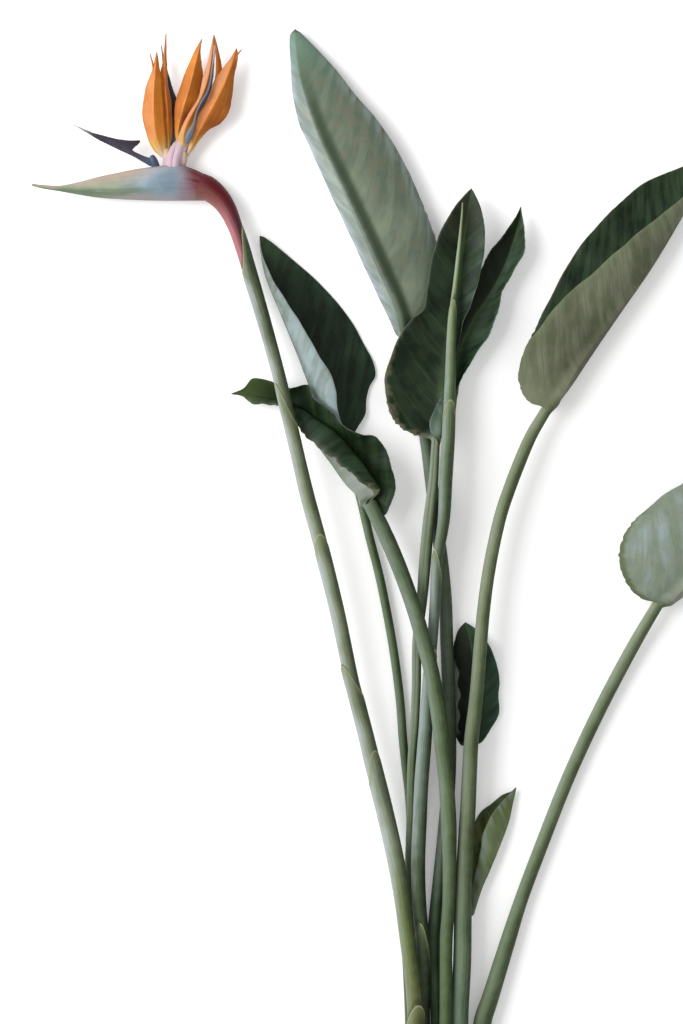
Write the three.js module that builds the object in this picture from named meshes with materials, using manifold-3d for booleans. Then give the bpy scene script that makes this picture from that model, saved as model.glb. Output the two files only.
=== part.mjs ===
// A cut fan of bird of paradise (Strelitzia reginae), lying on a surface: one open flower on its
// stalk, one unopened flower stalk and nine leaves that come together at their sheathing bases.
// Units are millimetres, +Z is up from the surface, +Y runs along the stems to the tips.
import * as THREE from "three";
import Module from "manifold-3d";

const wasm = await Module();
wasm.setup();

// Every point below is [across, down, up]: millimetres from the left and the top edge of a flat
// sheet, 1090 mm long, that the fan lies on, and above it. A stem adds its radius as a fourth value.
const SHEET_ORIGIN = { across: 394, down: 556.5 }; // the spot of the sheet under the model's origin
const FIT_GAP = 0.5; // clearance between pieces that seat in each other
const STEM_SIDES = 12; // facets round a flower stalk
const STEM_STEP = 30; // length of stem between two rings
const LEAF_EDGE = 1.1; // thickness of a leaf blade away from its midrib
const SEPAL_EDGE = 1.1; // thickness of a sepal or a petal
const SPATHE_EDGE = 2.2; // wall of the fleshy spathe
const MIDRIB_RISE = 1.5; // height of a midrib over its leaf, in petiole radii, where it starts
const MIN_SPAN = 0.9; // half width left at a pointed tip
const FULL_SPAN = 12; // half width from which a half blade bulges fully
const RIB_SHARE_ABOVE = 0.25; // part of a midrib's rise that stands on the upper face
const BLADE_END = 0.994; // share of a blade at which its tip is blunted
const PETIOLE_STEP = 48; // length of petiole between two rings
const LEAF_COLUMNS = [0.12, 0.55, 1]; // places on a half leaf, from its midrib to its margin
const SEPAL_COLUMNS = [0.5, 1];
const SEPAL_ROWS = 12;
const SHEATH_ROWS = [0, 0.5, 0.8, 1]; // places along a sheath, from its scar to its mouth
const SHEATH_SCAR = 0.5; // how far a sheath stands off its stalk at its scar
const SHEATH_COAT = 0.9; // how far it stands off above that
const SHEATH_ROOT = 0.8; // how deep its rims reach into the stalk
const MOUTH_LEVEL = 0.3; // how far below a sheath's tip its mouth lies, as a share of the tip
const UP = new THREE.Vector3(0, 0, 1);

const FINISH = {
  leafDark: { color: 0x24402c, roughness: 0.45 },
  leafPale: { color: 0x6f8a70, roughness: 0.6 },
  leafOlive: { color: 0x6b7a4c, roughness: 0.55 },
  stalk: { color: 0x7d9470, roughness: 0.55 },
  spathe: { color: 0x74877f, roughness: 0.5 },
  throat: { color: 0xcfb6bd, roughness: 0.6 },
  sepal: { color: 0xc96a1e, roughness: 0.5 },
  petal: { color: 0x2c3550, roughness: 0.45 },
};

// ---- the stems -------------------------------------------------------------------------------

const FLOWER_STALK = [
  [416, 1085, 31.4, 8.4], [415.5, 1020, 32.7, 8.4], [412.9, 980, 32.4, 8.2], [407.5, 940, 30, 7.6],
  [402.5, 900, 27.5, 7.8], [395.8, 860, 26, 8.1], [384.6, 810, 24.5, 8], [372, 760, 24, 7.8],
  [367.2, 740, 24, 7.4], [357, 700, 25, 7], [351.8, 680, 26, 6.9], [337, 610, 28.5, 6.9],
  [319.5, 540, 31, 6.9], [308.6, 500, 33, 6.8], [299, 460, 34.5, 6.2], [289.6, 420, 35.5, 6.2],
  [281.5, 385, 35, 6.1], [269.5, 340, 30, 6.2], [258, 300, 23, 6.6], [252, 280, 20, 6.9],
  [246, 260, 18.8, 6.7], [240.5, 243, 17.5, 6.7], [237, 232, 16.5, 7.1], [233.5, 222.5, 15.7, 7.8],
  [228.5, 211.5, 15, 8.9], [222, 201.5, 14.5, 10.2], [214.4, 193.8, 14, 11.4],
  [206.5, 188.6, 13.6, 12.7], [199.2, 186.9, 13.5, 13.2],
];

// Each sheath wraps its stalk between two places along it, and ends in a point `tip` long that
// stands at `side` degrees round the stalk, counted from the stalk's own right over its top.
const FLOWER_SHEATHS = [
  { from: 0.02, to: 0.073, tip: 22, side: 70 },
  { from: 0.15, to: 0.337, tip: 34, side: 55 },
  { from: 0.29, to: 0.432, tip: 36, side: 140 },
  { from: 0.4, to: 0.58, tip: 26, side: 80 },
  { from: 0.52, to: 0.73, tip: 46, side: 150 },
  { from: 0.68, to: 0.904, tip: 44, side: 20 },
];

const BUD_STALK = [
  [424.5, 1085, 16.4, 7.1], [422.2, 1020, 16.3, 7], [422.2, 980, 17.6, 7], [422, 940, 18.8, 7],
  [418.8, 900, 20.8, 7.1], [417.8, 860, 21.2, 7.1], [419.4, 820, 21.2, 7.1], [421.2, 780, 21.2, 7],
  [424.4, 740, 21.6, 6.6], [427, 700, 22.4, 5.8], [429.3, 670, 22.8, 5.4], [432, 640, 24.4, 5.1],
  [434.6, 600, 28, 4.8], [437, 560, 29.6, 5], [443.2, 520, 31, 5.8], [445.2, 480, 31.6, 6.2],
  [447.6, 440, 32.2, 5.9], [448.8, 400, 31.6, 5.5], [450, 370, 30, 4.9], [450.8, 340, 28.6, 4.2],
  [452.3, 310, 27.6, 3.2], [455, 285, 27, 2.6], [457.6, 260, 27, 2.3], [460, 235, 27, 1.7],
  [461.6, 215, 26.6, 1.1], [462, 204, 26.4, 0.6],
];

const BUD_SHEATHS = [
  { from: 0.02, to: 0.15, tip: 46, side: 110 },
  { from: 0.34, to: 0.475, tip: 26, side: 60 },
  { from: 0.5, to: 0.585, tip: 30, side: 130 },
  { from: 0.6, to: 0.76, tip: 22, side: 80 },
  { from: 0.75, to: 0.87, tip: 26, side: 90 },
];

// ---- the leaves ------------------------------------------------------------------------------
// petiole runs from the cut base to the blade, rib from there to the tip. The first margin is the
// one at the left when the upper face is seen with the tip up, the second is the other. A bulge
// says how far the middle of a half blade stands off the chord from rib to margin, base to tip.

const LEAVES = {
  leaf_tall: {
    finish: FINISH.leafPale,
    petiole: [
      [438.6, 1085, 6.8, 7], [437, 1020, 6.8, 6.6], [433.5, 940, 7, 6.4], [439, 880, 7, 6.5],
      [443.4, 840, 7, 6.7], [447.2, 800, 7.4, 7], [449.2, 760, 8, 7], [449, 720, 9, 6.8],
      [448, 680, 9.6, 6.6], [446.5, 640, 9.4, 6.6], [445.2, 600, 8.6, 6.6], [441.4, 560, 7.6, 6.6],
      [436, 520, 7, 6.4], [431, 480, 7, 6.4], [426.5, 445, 7, 6.2], [419.5, 405, 7.6, 6],
      [413, 370, 9, 5.6], [408, 345, 12, 5],
    ],
    rib: [
      [408, 345, 12], [400, 310, 19], [380, 265, 28], [360, 222, 33], [340, 180, 34],
      [320, 138, 32], [309, 108, 28], [299, 70, 18], [295, 28, 6],
    ],
    first: [
      [408, 345, 12], [424, 335, 11], [438, 312, 11], [443, 285, 12], [440, 256, 13],
      [430.6, 225.6, 14], [413, 183, 16], [393.6, 146, 17], [375, 119, 17], [355, 96, 15],
      [335, 70, 12], [310, 43, 8], [295, 28, 6],
    ],
    second: [
      [408, 345, 12], [399, 339, 6], [389, 318, 3], [368.8, 275.5, 2], [348.4, 230.7, 1.6],
      [328.2, 187.8, 1.6], [308.6, 143.6, 1.6], [301, 127.4, 2], [294, 100, 3], [291, 62, 5], [290.5, 36, 6],
      [295, 28, 6],
    ],
    firstBulge: [[0, 0, 2], [2, -1, 6], [2, -1, 5], [0, 0, 1]],
    secondBulge: [[0, 0, 0], [-2, 0, 2], [-2, 0, 2], [0, 0, 0]],
    wave: { height: 0.9, count: 9 },
    rows: 24,
  },
  leaf_dark: {
    finish: FINISH.leafDark,
    petiole: [
      [418.9, 1085, 4.6, 4.4], [417.8, 1020, 4.6, 4.4], [416.2, 980, 6.2, 4.4], [412.9, 940, 9.8, 4.4],
      [410.6, 900, 12.2, 4.3], [409.4, 860, 13.2, 4.2], [410.4, 815, 13.6, 4.2], [411.4, 765, 13.8, 4.3],
      [414.5, 720, 15, 4.5], [416, 690, 16, 4.6], [417, 640, 18.6, 4.9], [421.5, 600, 20, 5.4],
      [424.8, 560, 21, 6.1], [428.4, 520, 22, 5.8],
      [433, 480, 23.4, 4.8], [435, 446, 24, 4.2],
    ],
    rib: [
      [435, 446, 24], [439, 410, 22], [444, 370, 21], [450, 330, 20], [455, 300, 20],
      [461, 255, 20], [466, 222, 19], [471, 189, 17],
    ],
    first: [
      [435, 446, 24], [430, 441, 25], [415, 436, 26], [401, 429, 26], [391, 418, 26],
      [386, 402, 26], [384.5, 380, 26.5], [390, 360, 27], [399, 338, 28], [412, 320, 28],
      [422, 312, 28], [426, 298, 28], [430, 268, 28], [439, 236, 27], [452, 212, 24],
      [461, 200, 21], [471, 189, 17],
    ],
    second: [
      [435, 446, 24], [438, 443, 25], [432.5, 437, 28], [429.5, 426, 31], [431, 416, 31],
      [437, 405, 28.5], [444, 394, 25], [451, 375, 23.5], [457, 350, 23], [463, 322, 23.5],
      [470, 306, 24.5], [478, 280, 26], [483.5, 250, 26.5], [484, 236, 26], [481, 213, 23],
      [474, 195, 18.5], [471, 189, 17],
    ],
    firstBulge: [[0, 0, -1], [0, 0, -2], [0, 0, -2], [0, 0, 0]],
    secondBulge: [[3, 0, -1], [1, 0, -1.5], [0, 0, -2], [0, 0, 0]],
    wave: { height: 1, count: 10 },
    rows: 26,
  },
  leaf_narrow: {
    finish: FINISH.leafDark,
    petiole: [
      [427.6, 1085, 4.2, 3.8], [426.4, 1020, 4.2, 3.8], [424.6, 980, 4.2, 3.8], [421.8, 940, 4.2, 3.8],
      [418, 860, 4.2, 3.8],
      [420, 800, 5.4, 3.8], [424, 740, 8.2, 3.8], [428.5, 680, 11.6, 3.7], [432, 640, 14.4, 3.7],
      [435.5, 600, 17.6, 3.6], [438.5, 560, 19, 3.6], [441.5, 520, 19.4, 3.6], [445, 480, 18.4, 3.6],
      [449, 440, 16.4, 3.6], [453, 402, 14, 3.4],
    ],
    rib: [
      [453, 402, 14], [454.5, 375, 12], [458, 350, 10], [465, 335, 9], [475, 315, 8.6],
      [487, 298, 8.6], [500, 275, 9], [510, 250, 9.6], [517, 226, 11], [520.5, 207, 12],
    ],
    first: [
      [453, 402, 14], [451, 380, 15.5], [452.5, 355, 17], [458, 330, 18], [468, 300, 19],
      [477, 280, 20], [486, 258.4, 20.5], [500.4, 239, 20], [511, 225, 18], [518, 212.5, 14],
      [520.5, 207, 12],
    ],
    second: [
      [453, 402, 14], [456, 397, 16], [458, 386, 18], [464, 374, 20], [472, 360, 21],
      [480, 348, 21], [488, 336, 21], [493, 325, 21], [497, 312, 21], [503.6, 288, 21],
      [515, 268.6, 21], [523.5, 252, 20.5], [524.2, 237, 19], [521.5, 216, 15], [520.5, 207, 12],
    ],
    firstBulge: [[0, 0, 0], [-2, 0, -1], [-2, 0, -1], [0, 0, 0]],
    secondBulge: [[0, 0, 0], [2, 2, -2], [2, 2, -2], [0, 0, 0]],
    wave: { height: 0.8, count: 7 },
    rows: 20,
  },
  leaf_right: {
    finish: FINISH.leafPale,
    petiole: [
      [460, 1085, 18.2, 9.6], [458.4, 1020, 18.4, 9.6], [461.5, 960, 18.6, 9.3], [462.4, 900, 19, 9],
      [464, 860, 20, 8.4], [467, 810, 21.5, 8], [470.5, 740, 24, 7.6], [475, 700, 25, 7.2],
      [478.3, 660, 25.5, 7], [482.6, 610, 25.5, 6.8], [488, 570, 25, 6.7], [496, 530, 24, 6.6],
      [501.2, 510, 23.5, 6.6], [508, 490, 23, 6.6], [519.5, 460, 21.6, 6.6], [530.6, 435, 20.2, 6.3],
      [543, 414, 19, 5.8],
    ],
    rib: [
      [543, 414, 19], [552.2, 399.2, 19], [565.4, 381.6, 19.5], [585.6, 353, 20], [616.2, 311.4, 20],
      [648, 268.6, 19], [680, 218, 16], [702, 179.5, 11], [722, 148, 7],
    ],
    first: [
      [543, 414, 19], [534, 405, 12], [525, 385, 6], [524, 360, 3], [529, 340, 1.8],
      [536, 327, 1.4], [549, 301, 1.4], [575, 254, 1.4], [605, 218, 1.4], [645, 183, 1.8],
      [683, 167, 3], [706, 156, 5], [722, 148, 7],
    ],
    second: [
      [543, 414, 19], [538, 407.5, 20], [528, 403, 23], [519, 388, 28], [517, 374, 31],
      [520, 360, 34], [527, 343, 37], [540, 327, 38.5], [560, 302, 40], [590, 276, 40],
      [620, 249, 37], [650, 224, 32], [680, 200, 23], [704, 170, 13], [722, 148, 7],
    ],
    firstBulge: [[0, 0, 0], [0, 0, -2], [0, 0, -2], [0, 0, 0]],
    secondBulge: [[3, 3, 3], [4, 4, 5], [3, 3, 4], [0, 0, 0]],
    wave: { height: 0.9, count: 9 },
    rows: 24,
  },
  leaf_rolled: {
    finish: FINISH.leafDark,
    petiole: [
      [443.8, 1085, 27.2, 6.8], [445.4, 1020, 28.2, 6.6], [446, 940, 26.8, 6.4],
      [448.4, 900, 26.4, 6.6], [449.2, 860, 27, 7.1], [448.4, 820, 27.8, 8.2], [445.8, 780, 29, 7.8],
      [441.8, 740, 31.6, 8.4], [436.5, 700, 36, 8.2], [431, 670, 38.4, 8], [423.3, 640, 38.4, 8],
      [411.3, 600, 35.4, 8], [396.5, 560, 31, 8.2], [382.5, 528, 27, 8.2], [371, 505, 24, 7.6],
    ],
    rib: [
      [371, 505, 24], [361, 491, 22], [350.4, 478.8, 20], [335.2, 459, 18], [318, 440.8, 16],
      [299.4, 423.2, 14], [280, 404.4, 12], [259, 396.6, 10], [243.6, 394.2, 9], [231, 394, 8],
    ],
    first: [
      [371, 505, 24], [373, 492, 32], [362, 483, 37], [350, 472, 40], [335, 460, 40],
      [322, 450, 37], [310, 440, 31], [298, 426.6, 25], [281, 407.6, 20], [263, 404, 15],
      [254, 404.5, 13], [243, 396.6, 10], [231, 394, 8],
    ],
    second: [
      [371, 505, 24], [384, 515, 26], [389, 507, 28], [395, 488, 30], [391, 467, 32],
      [385, 450, 33], [375, 437, 34], [360, 435, 34], [346, 428, 34], [330, 411, 32],
      [313, 397, 28], [308, 386, 26], [287, 389, 23], [268, 381, 20], [253, 379, 16],
      [244, 388.5, 11], [231, 394, 8],
    ],
    firstBulge: [[8, -3, 4], [14, -8, 6], [12, -16, 6], [8, -12, 4], [2, -3, 2], [0, 0, 0]],
    secondBulge: [[0, 0, -2], [0, 0, -4], [0, 0, -3], [0, 0, -2], [0, 0, 0]],
    wave: { height: 0.8, count: 8 },
    rows: 26,
  },
  leaf_folded: {
    finish: FINISH.leafDark,
    petiole: [
      [410, 1085, 4.2, 4.1], [409, 1020, 4.2, 4.1], [407.4, 980, 4.2, 4.1], [405.5, 940, 4.2, 4.1],
      [406.2, 900, 4.2, 4.1], [408.6, 860, 4.2, 4], [410.2, 825, 4.2, 4], [408.8, 795, 4.3, 4],
      [405.8, 768, 4.5, 4.2], [403, 740, 4.8, 4.4], [400, 700, 5, 4.4], [393.5, 650, 5.6, 4.4],
      [384.5, 600, 6.4, 4.4], [378, 570, 7, 4.4], [369, 535, 8, 4.4], [361, 500, 8.4, 4.6],
      [354, 474, 9, 4.6], [346, 448, 11, 4.4],
    ],
    rib: [
      [346, 448, 11], [337, 425, 13], [325, 405, 14], [317, 395, 14.4], [300, 355, 15],
      [280, 309, 15], [266, 275, 13], [260.5, 248, 9], [260, 236, 7],
    ],
    first: [
      [346, 448, 11], [345, 437, 15], [340, 420, 22], [336.5, 404, 30], [336, 393, 35],
      [331, 376.4, 37], [318.8, 356.6, 37], [304.8, 331.6, 35], [288.6, 305.8, 31], [273.6, 281.8, 25],
      [264, 260, 17], [260.5, 245, 10], [260, 236, 7],
    ],
    second: [
      [346, 448, 11], [350, 441, 9], [357, 428, 7], [365, 414, 5], [366, 400, 3.6], [369, 387, 3],
      [375, 376, 2.4], [373, 363, 2], [364, 345, 1.5], [350, 320, 1.4], [330, 295, 1.4],
      [310, 275, 2], [290, 258, 3], [272, 243, 5], [262, 236.5, 6.5], [260, 236, 7],
    ],
    firstBulge: [[-3, 0, 1], [-4, 2, 3], [-3, 2, 3], [0, 0, 0]],
    secondBulge: [[0, 0, 0], [0, 0, -2], [0, 0, -2], [0, 0, 0]],
    wave: { height: 0.9, count: 8 },
    rows: 22,
  },
  leaf_far_right: {
    finish: FINISH.leafPale,
    petiole: [
      [476.6, 1085, 9.2, 9], [482.4, 1020, 9.3, 9.3], [488.8, 1000, 9, 8.9], [507.5, 940, 8, 7.9],
      [520.4, 900, 7.1, 6.9], [542.8, 840, 7, 6.9], [566.5, 780, 7, 6.8], [591.4, 725, 7.4, 6.8],
      [614, 680, 8.4, 6.8], [635.6, 640, 10.6, 6.6], [656, 605, 14, 6],
    ],
    rib: [
      [656, 605, 14], [669, 596, 14], [685, 584.5, 14.4], [701, 566.5, 14.6], [715, 539, 14.6],
      [727, 504, 13.6], [738.5, 464.5, 11], [748, 425, 8], [756, 385, 5],
    ],
    first: [
      [656, 605, 14], [642, 590, 6], [630, 565, 2], [631, 540, 1.2], [642, 520, 1.2],
      [662, 503, 1.2], [685, 490, 1.2], [705, 473, 1.6], [722, 452, 2.4], [738, 427, 3.4],
      [749, 404, 4.4], [756, 385, 5],
    ],
    second: [
      [656, 605, 14], [650, 603, 15], [631.4, 591.4, 20], [619, 569, 26], [617.6, 552, 28],
      [622, 535, 29], [631.4, 521.6, 29], [646.4, 508.4, 29], [665, 493, 28], [683, 482.5, 26],
      [701, 468, 23], [719, 448, 18], [736, 423, 12], [748, 401, 7], [756, 385, 5],
    ],
    firstBulge: [[0, 0, 0], [0, 0, -2], [0, 0, -2], [0, 0, 0]],
    secondBulge: [[0, 0, 3], [0, 0, 6], [0, 0, 5], [0, 0, 0]],
    wave: { height: 1, count: 8 },
    rows: 22,
  },
  leaf_small_dark: {
    finish: FINISH.leafDark,
    petiole: [
      [455.5, 1085, 4.2, 4], [453.6, 1020, 4.2, 4], [457, 960, 4.2, 4], [459, 900, 4.2, 3.8],
      [462, 840, 4.4, 3.6], [465.5, 780, 5, 3.4], [467.5, 748, 6, 3.2],
    ],
    rib: [
      [467.5, 748, 6], [470, 735, 6.6], [474, 705, 8], [474, 670, 9], [470, 640, 8.6],
      [465, 622, 7.6],
    ],
    first: [
      [467.5, 748, 6], [462.5, 746, 5.2], [457, 738, 3.6], [455, 720, 2.2], [455.6, 695, 1.8],
      [454, 672, 1.6], [453.6, 648, 2], [458, 631, 5], [465, 622, 7.6],
    ],
    second: [
      [467.5, 748, 6], [473, 745.5, 6], [481, 742, 5.6], [490.6, 728, 5.4], [498.4, 714, 5.4],
      [498, 696, 5.6], [499, 680, 6], [494, 657, 7], [486, 641, 8], [474, 628, 8],
      [465, 622, 7.6],
    ],
    firstBulge: [[0, 0, 0], [0, 0, -1.5], [0, 0, 0]],
    secondBulge: [[0, 0, 0], [0, 0, 1], [0, 0, 0]],
    wave: { height: 0.9, count: 5 },
    rows: 14,
  },
  leaf_small_olive: {
    finish: FINISH.leafOlive,
    petiole: [
      [463.7, 1085, 3.7, 3.5], [461.8, 1020, 3.7, 3.5], [465, 970, 4.4, 3.4], [468.4, 920, 6.4, 3.2],
    ],
    rib: [
      [468.4, 920, 6.4], [477, 893, 7.6], [488, 868, 8], [498, 846, 8], [507.5, 822, 7],
      [512, 804, 6], [516, 787, 5],
    ],
    first: [
      [468.4, 920, 6.4], [466, 905, 5], [467, 880, 3.4], [469, 850, 2], [472.8, 828, 1.4],
      [481.6, 811.6, 1.2], [490.6, 804.6, 1.4], [503, 794.8, 2.4], [512, 791, 4], [516, 787, 5],
    ],
    second: [
      [468.4, 920, 6.4], [470, 897, 8.6], [474, 877, 9.4], [478, 860, 12], [481, 848, 15],
      [482, 835, 17], [487, 823, 17], [493, 812, 15], [502, 801, 11], [511, 792, 7], [516, 787, 5],
    ],
    firstBulge: [[0, 0, 0], [0, 0, -1], [0, 0, 0]],
    secondBulge: [[0, 0, 1], [2, 2, 2], [0, 0, 0]],
    wave: { height: 0.5, count: 4 },
    rows: 14,
  },
};

// ---- the flower ------------------------------------------------------------------------------
// The spathe is a folded bract: its rib is the keel, its two margins are the lips of the slit that
// the flowers stand in.
const SPATHE = {
  rib: [
    [204, 200.4, 13.5], [190, 200.5, 13.5], [160, 200.5, 13.5], [130, 199.5, 13.5],
    [100, 197.5, 13.5], [80, 194.5, 13.5], [60, 191, 13.5], [45, 188.6, 13.5], [32, 185.5, 13.5],
  ],
  first: [
    [204, 175.5, 15.5], [195, 171.5, 18], [184, 168, 21], [172, 167, 21.5], [158, 168.5, 20],
    [140, 170.4, 16], [120, 174.2, 14.9], [100, 178.4, 14.9], [80, 183.6, 14.8], [60, 187.6, 14.6],
    [45, 187, 14.4], [32, 185.5, 13.5],
  ],
  second: [
    [204, 175.5, 11.5], [195, 171.5, 9], [184, 168, 6], [172, 167, 5.5], [158, 168.5, 7],
    [140, 170.4, 11], [120, 174.2, 12.1], [100, 178.4, 12.1], [80, 183.6, 12.2], [60, 187.6, 12.4],
    [45, 187, 12.6], [32, 185.5, 13.5],
  ],
  firstBulge: [[0, 2, 10.5], [0, 2, 8], [0, 1, 9], [0, 1, 7], [0, 0, 4], [0, 0, 1.6], [0, 0, 0.4]],
  secondBulge: [
    [0, 2, -10.5], [0, 2, -8], [0, 1, -9], [0, 1, -7], [0, 0, -4], [0, 0, -1.6], [0, 0, -0.4],
  ],
  edge: SPATHE_EDGE,
  rows: 18,
};

const THROAT = [
  [172, 182, 13.5, 7], [172, 172, 13.5, 9], [172.6, 164, 13.5, 12], [173, 158, 13.5, 12.3],
  [175, 151, 13.8, 11.5], [179, 144, 14.4, 8], [181, 139, 15, 5],
];

const LEFT_SEPALS = [
  {
    rib: [
      [165, 160, 16], [158, 142, 22], [155, 118, 26], [155, 92, 27], [156.5, 72, 25],
      [157.5, 53.5, 22],
    ],
    first: [
      [165, 160, 16], [155, 152, 17], [147.6, 136, 18], [143.4, 115, 19], [146.2, 92, 20],
      [153, 72, 21], [155.8, 62, 22], [157.5, 53.5, 22],
    ],
    second: [
      [165, 160, 16], [166, 148, 18], [165, 125, 20], [163.5, 105, 21], [162, 85, 22],
      [160, 68, 22], [157.5, 53.5, 22],
    ],
  },
  {
    rib: [
      [170, 160, 13], [169, 142, 15], [168.5, 115, 17], [166.5, 90, 18], [165.5, 65, 17],
      [166.5, 35, 15],
    ],
    first: [
      [170, 160, 13], [163, 150, 14], [159, 130, 15], [158.5, 105, 15], [160, 82, 16],
      [163.5, 62, 16], [166.5, 35, 15],
    ],
    second: [
      [170, 160, 13], [170, 150, 12], [172, 138, 11], [172.5, 122, 11], [171.5, 105, 12],
      [168.5, 86, 13], [167.2, 70, 14], [166.9, 50, 15], [166.5, 35, 15],
    ],
  },
];

const RIGHT_SEPALS = [
  {
    rib: [
      [181, 161, 14.6], [179, 130, 17], [184, 110, 19], [190, 90, 20], [195, 70, 19],
      [200, 50, 17], [202.5, 40, 16],
    ],
    first: [
      [181, 161, 14.6], [177, 142, 13.5], [175, 122, 13.5], [177, 100, 13], [184, 79, 13],
      [192, 59, 14], [199, 46, 15.5], [202.5, 40, 16],
    ],
    second: [
      [181, 161, 14.6], [181.5, 142, 14], [187, 125, 13], [195, 109, 13], [201, 94, 13],
      [203, 80, 13], [201.8, 65, 14], [200.8, 50, 15.5], [202.5, 40, 16],
    ],
  },
  {
    rib: [
      [183, 161, 15.6], [185, 133, 21], [192, 117, 23], [201, 101, 24], [207.5, 84, 24],
      [211.5, 64, 23], [214.5, 36, 20],
    ],
    first: [
      [183, 161, 15.6], [179, 142, 18], [183, 128, 20], [189, 116, 21], [198, 102, 21],
      [203.7, 80, 22], [208.3, 64, 21], [212.6, 45, 20], [214.5, 36, 20],
    ],
    second: [
      [183, 161, 15.6], [187, 143, 18], [192, 129, 20], [197.5, 116, 21], [205, 103, 21],
      [211, 89, 21], [214, 70, 21], [215.3, 50, 20.5], [214.5, 36, 20],
    ],
  },
  {
    rib: [
      [184, 161, 12.4], [198, 125, 10], [210, 100, 11], [217.5, 80, 12], [218, 60, 13],
      [214.7, 37, 14],
    ],
    first: [
      [184, 161, 12.4], [185, 142, 10], [193, 122, 9], [205, 100, 10], [215, 82, 11],
      [216.3, 66, 12], [215.7, 50, 13], [214.7, 37, 14],
    ],
    second: [
      [184, 161, 12.4], [190, 145, 10], [205, 125, 9], [217, 102, 10], [222.5, 80, 11],
      [221.5, 66, 12], [218, 49, 13], [214.7, 37, 14],
    ],
  },
  {
    rib: [
      [185, 161, 14], [197, 138, 19], [207, 120, 23], [216, 104, 25], [224, 88, 25],
      [231, 70, 23], [237, 50, 20],
    ],
    first: [
      [185, 161, 14], [189, 147, 15], [195.5, 132, 17], [197.5, 119, 18], [204, 106, 19],
      [210.5, 93, 20], [216, 81, 20], [225, 68, 20], [232, 59, 20], [237, 50, 20],
    ],
    second: [
      [185, 161, 14], [194, 150, 15], [199.6, 141, 16], [208.4, 131.6, 17], [220.6, 124.6, 17],
      [228.8, 113, 18], [232.4, 98, 18], [234, 80, 19], [237, 66, 20], [238, 57, 20], [237, 50, 20],
    ],
  },
];

// Thin points that stand off the sepals, and the fleshy claws that join the sepals of one flower.
const LEFT_CLAW = [[168, 166, 14, 3.4], [167.5, 158, 15, 4], [166.5, 149, 16, 3]];
const LEFT_POINT = [[155.5, 80, 21.6, 1.4], [153.5, 66, 22, 1], [150.5, 54.5, 22, 0.5]];
const RIGHT_CLAW = [[182, 167, 13.5, 4], [183, 160, 14.4, 5], [184, 152, 15.6, 4]];
const RIGHT_POINT = [[236, 62, 20.4, 1], [238.6, 55.5, 20.6, 0.8], [242.5, 51, 21, 0.5]];

const LEFT_TONGUE = {
  rib: [
    [174, 154, 8.4], [175, 140, 7], [174, 120, 7], [175, 103, 7], [171, 88, 7], [167, 74, 7],
    [164, 62, 8], [161.5, 46, 9],
  ],
  first: [
    [174, 154, 8.4], [171, 145, 8], [169, 125, 8], [169, 105, 8], [167, 88, 8], [164.5, 72, 8],
    [162.8, 60, 8.5], [161.5, 46, 9],
  ],
  second: [
    [174, 154, 8.4], [177, 145, 6], [176.4, 125, 6], [175.5, 114, 6], [176.5, 101, 6],
    [173, 90, 6], [168.5, 75, 7], [164.5, 60, 8], [161.5, 46, 9],
  ],
};

const RIGHT_TONGUE = {
  rib: [
    [187.5, 145, 21.7], [189.5, 137, 23.3], [194.5, 126, 24.3], [197.5, 115, 25.3], [203, 104, 26.3],
    [209, 94, 26.7], [212, 82, 26.5], [213.3, 70, 25.9], [214.6, 56, 23.9], [215, 47, 22.3],
  ],
  first: [
    [187.5, 145, 21.7], [184, 141, 21.5], [186, 134, 22.3], [192.5, 125, 23.7], [196, 114, 24.7],
    [200.5, 103, 25.3], [206, 93, 25.7], [210.3, 80, 25.5], [212.3, 68, 24.9], [213.9, 56, 23.3],
    [215, 47, 22.3],
  ],
  second: [
    [187.5, 145, 21.7], [190.5, 144, 21.5], [194, 138, 22.3], [195.5, 130, 23.3], [198.8, 116, 24.6],
    [205.5, 105, 25.3], [211.3, 95, 25.9], [213.8, 82, 25.8], [214.6, 70, 25.3], [215.5, 56, 23.6],
    [215, 47, 22.3],
  ],
};

const LOOSE_PETAL = {
  rib: [
    [158, 165, 16.6], [150, 162.5, 17], [140, 157.5, 18], [130, 152, 19], [118, 146, 20],
    [105, 140, 20.5], [92, 135.2, 21], [83, 130.5, 21], [74, 126, 21],
  ],
  first: [
    [158, 165, 16.6], [152, 167, 16.6], [145, 163.5, 17], [135, 157.8, 18], [120, 150.7, 19],
    [110, 146, 19.5], [100, 141, 20], [92, 136.5, 20.5], [83, 131.2, 21], [74, 126, 21],
  ],
  second: [
    [158, 165, 16.6], [154, 161, 17], [146, 158, 17.5], [136, 153.5, 18], [131, 150, 18.5],
    [137, 147, 19], [141, 142.5, 19.4], [130, 142, 19.5], [118, 140.5, 20], [105, 137.3, 20.3],
    [93, 134, 21], [83, 129.8, 21], [74, 126, 21],
  ],
};
const PETAL_FOOT = [
  [157, 172, 13.5, 3.4], [156, 166.5, 15.4, 4.2], [153.8, 160.5, 17, 3.8], [152.4, 156, 17.4, 2],
];

// ---- shape helpers ---------------------------------------------------------------------------

function place([across, down, up]) {
  return new THREE.Vector3(across - SHEET_ORIGIN.across, SHEET_ORIGIN.down - down, up);
}

function curveThrough(points) {
  return new THREE.CatmullRomCurve3(points.map(place), false, "centripetal");
}

// The value at a share of the way along an evenly spaced list of numbers.
function along(values, share) {
  const spot = share * (values.length - 1);
  const low = Math.min(Math.floor(spot), values.length - 2);
  return THREE.MathUtils.lerp(values[low], values[low + 1], spot - low);
}

// The [across, down, up] offset at a share of the way along a list of them, as a vector.
function offsetAlong(offsets, share) {
  const [across, down, up] = [0, 1, 2].map((axis) => along(offsets.map((row) => row[axis]), share));
  return new THREE.Vector3(across, -down, up);
}

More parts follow.
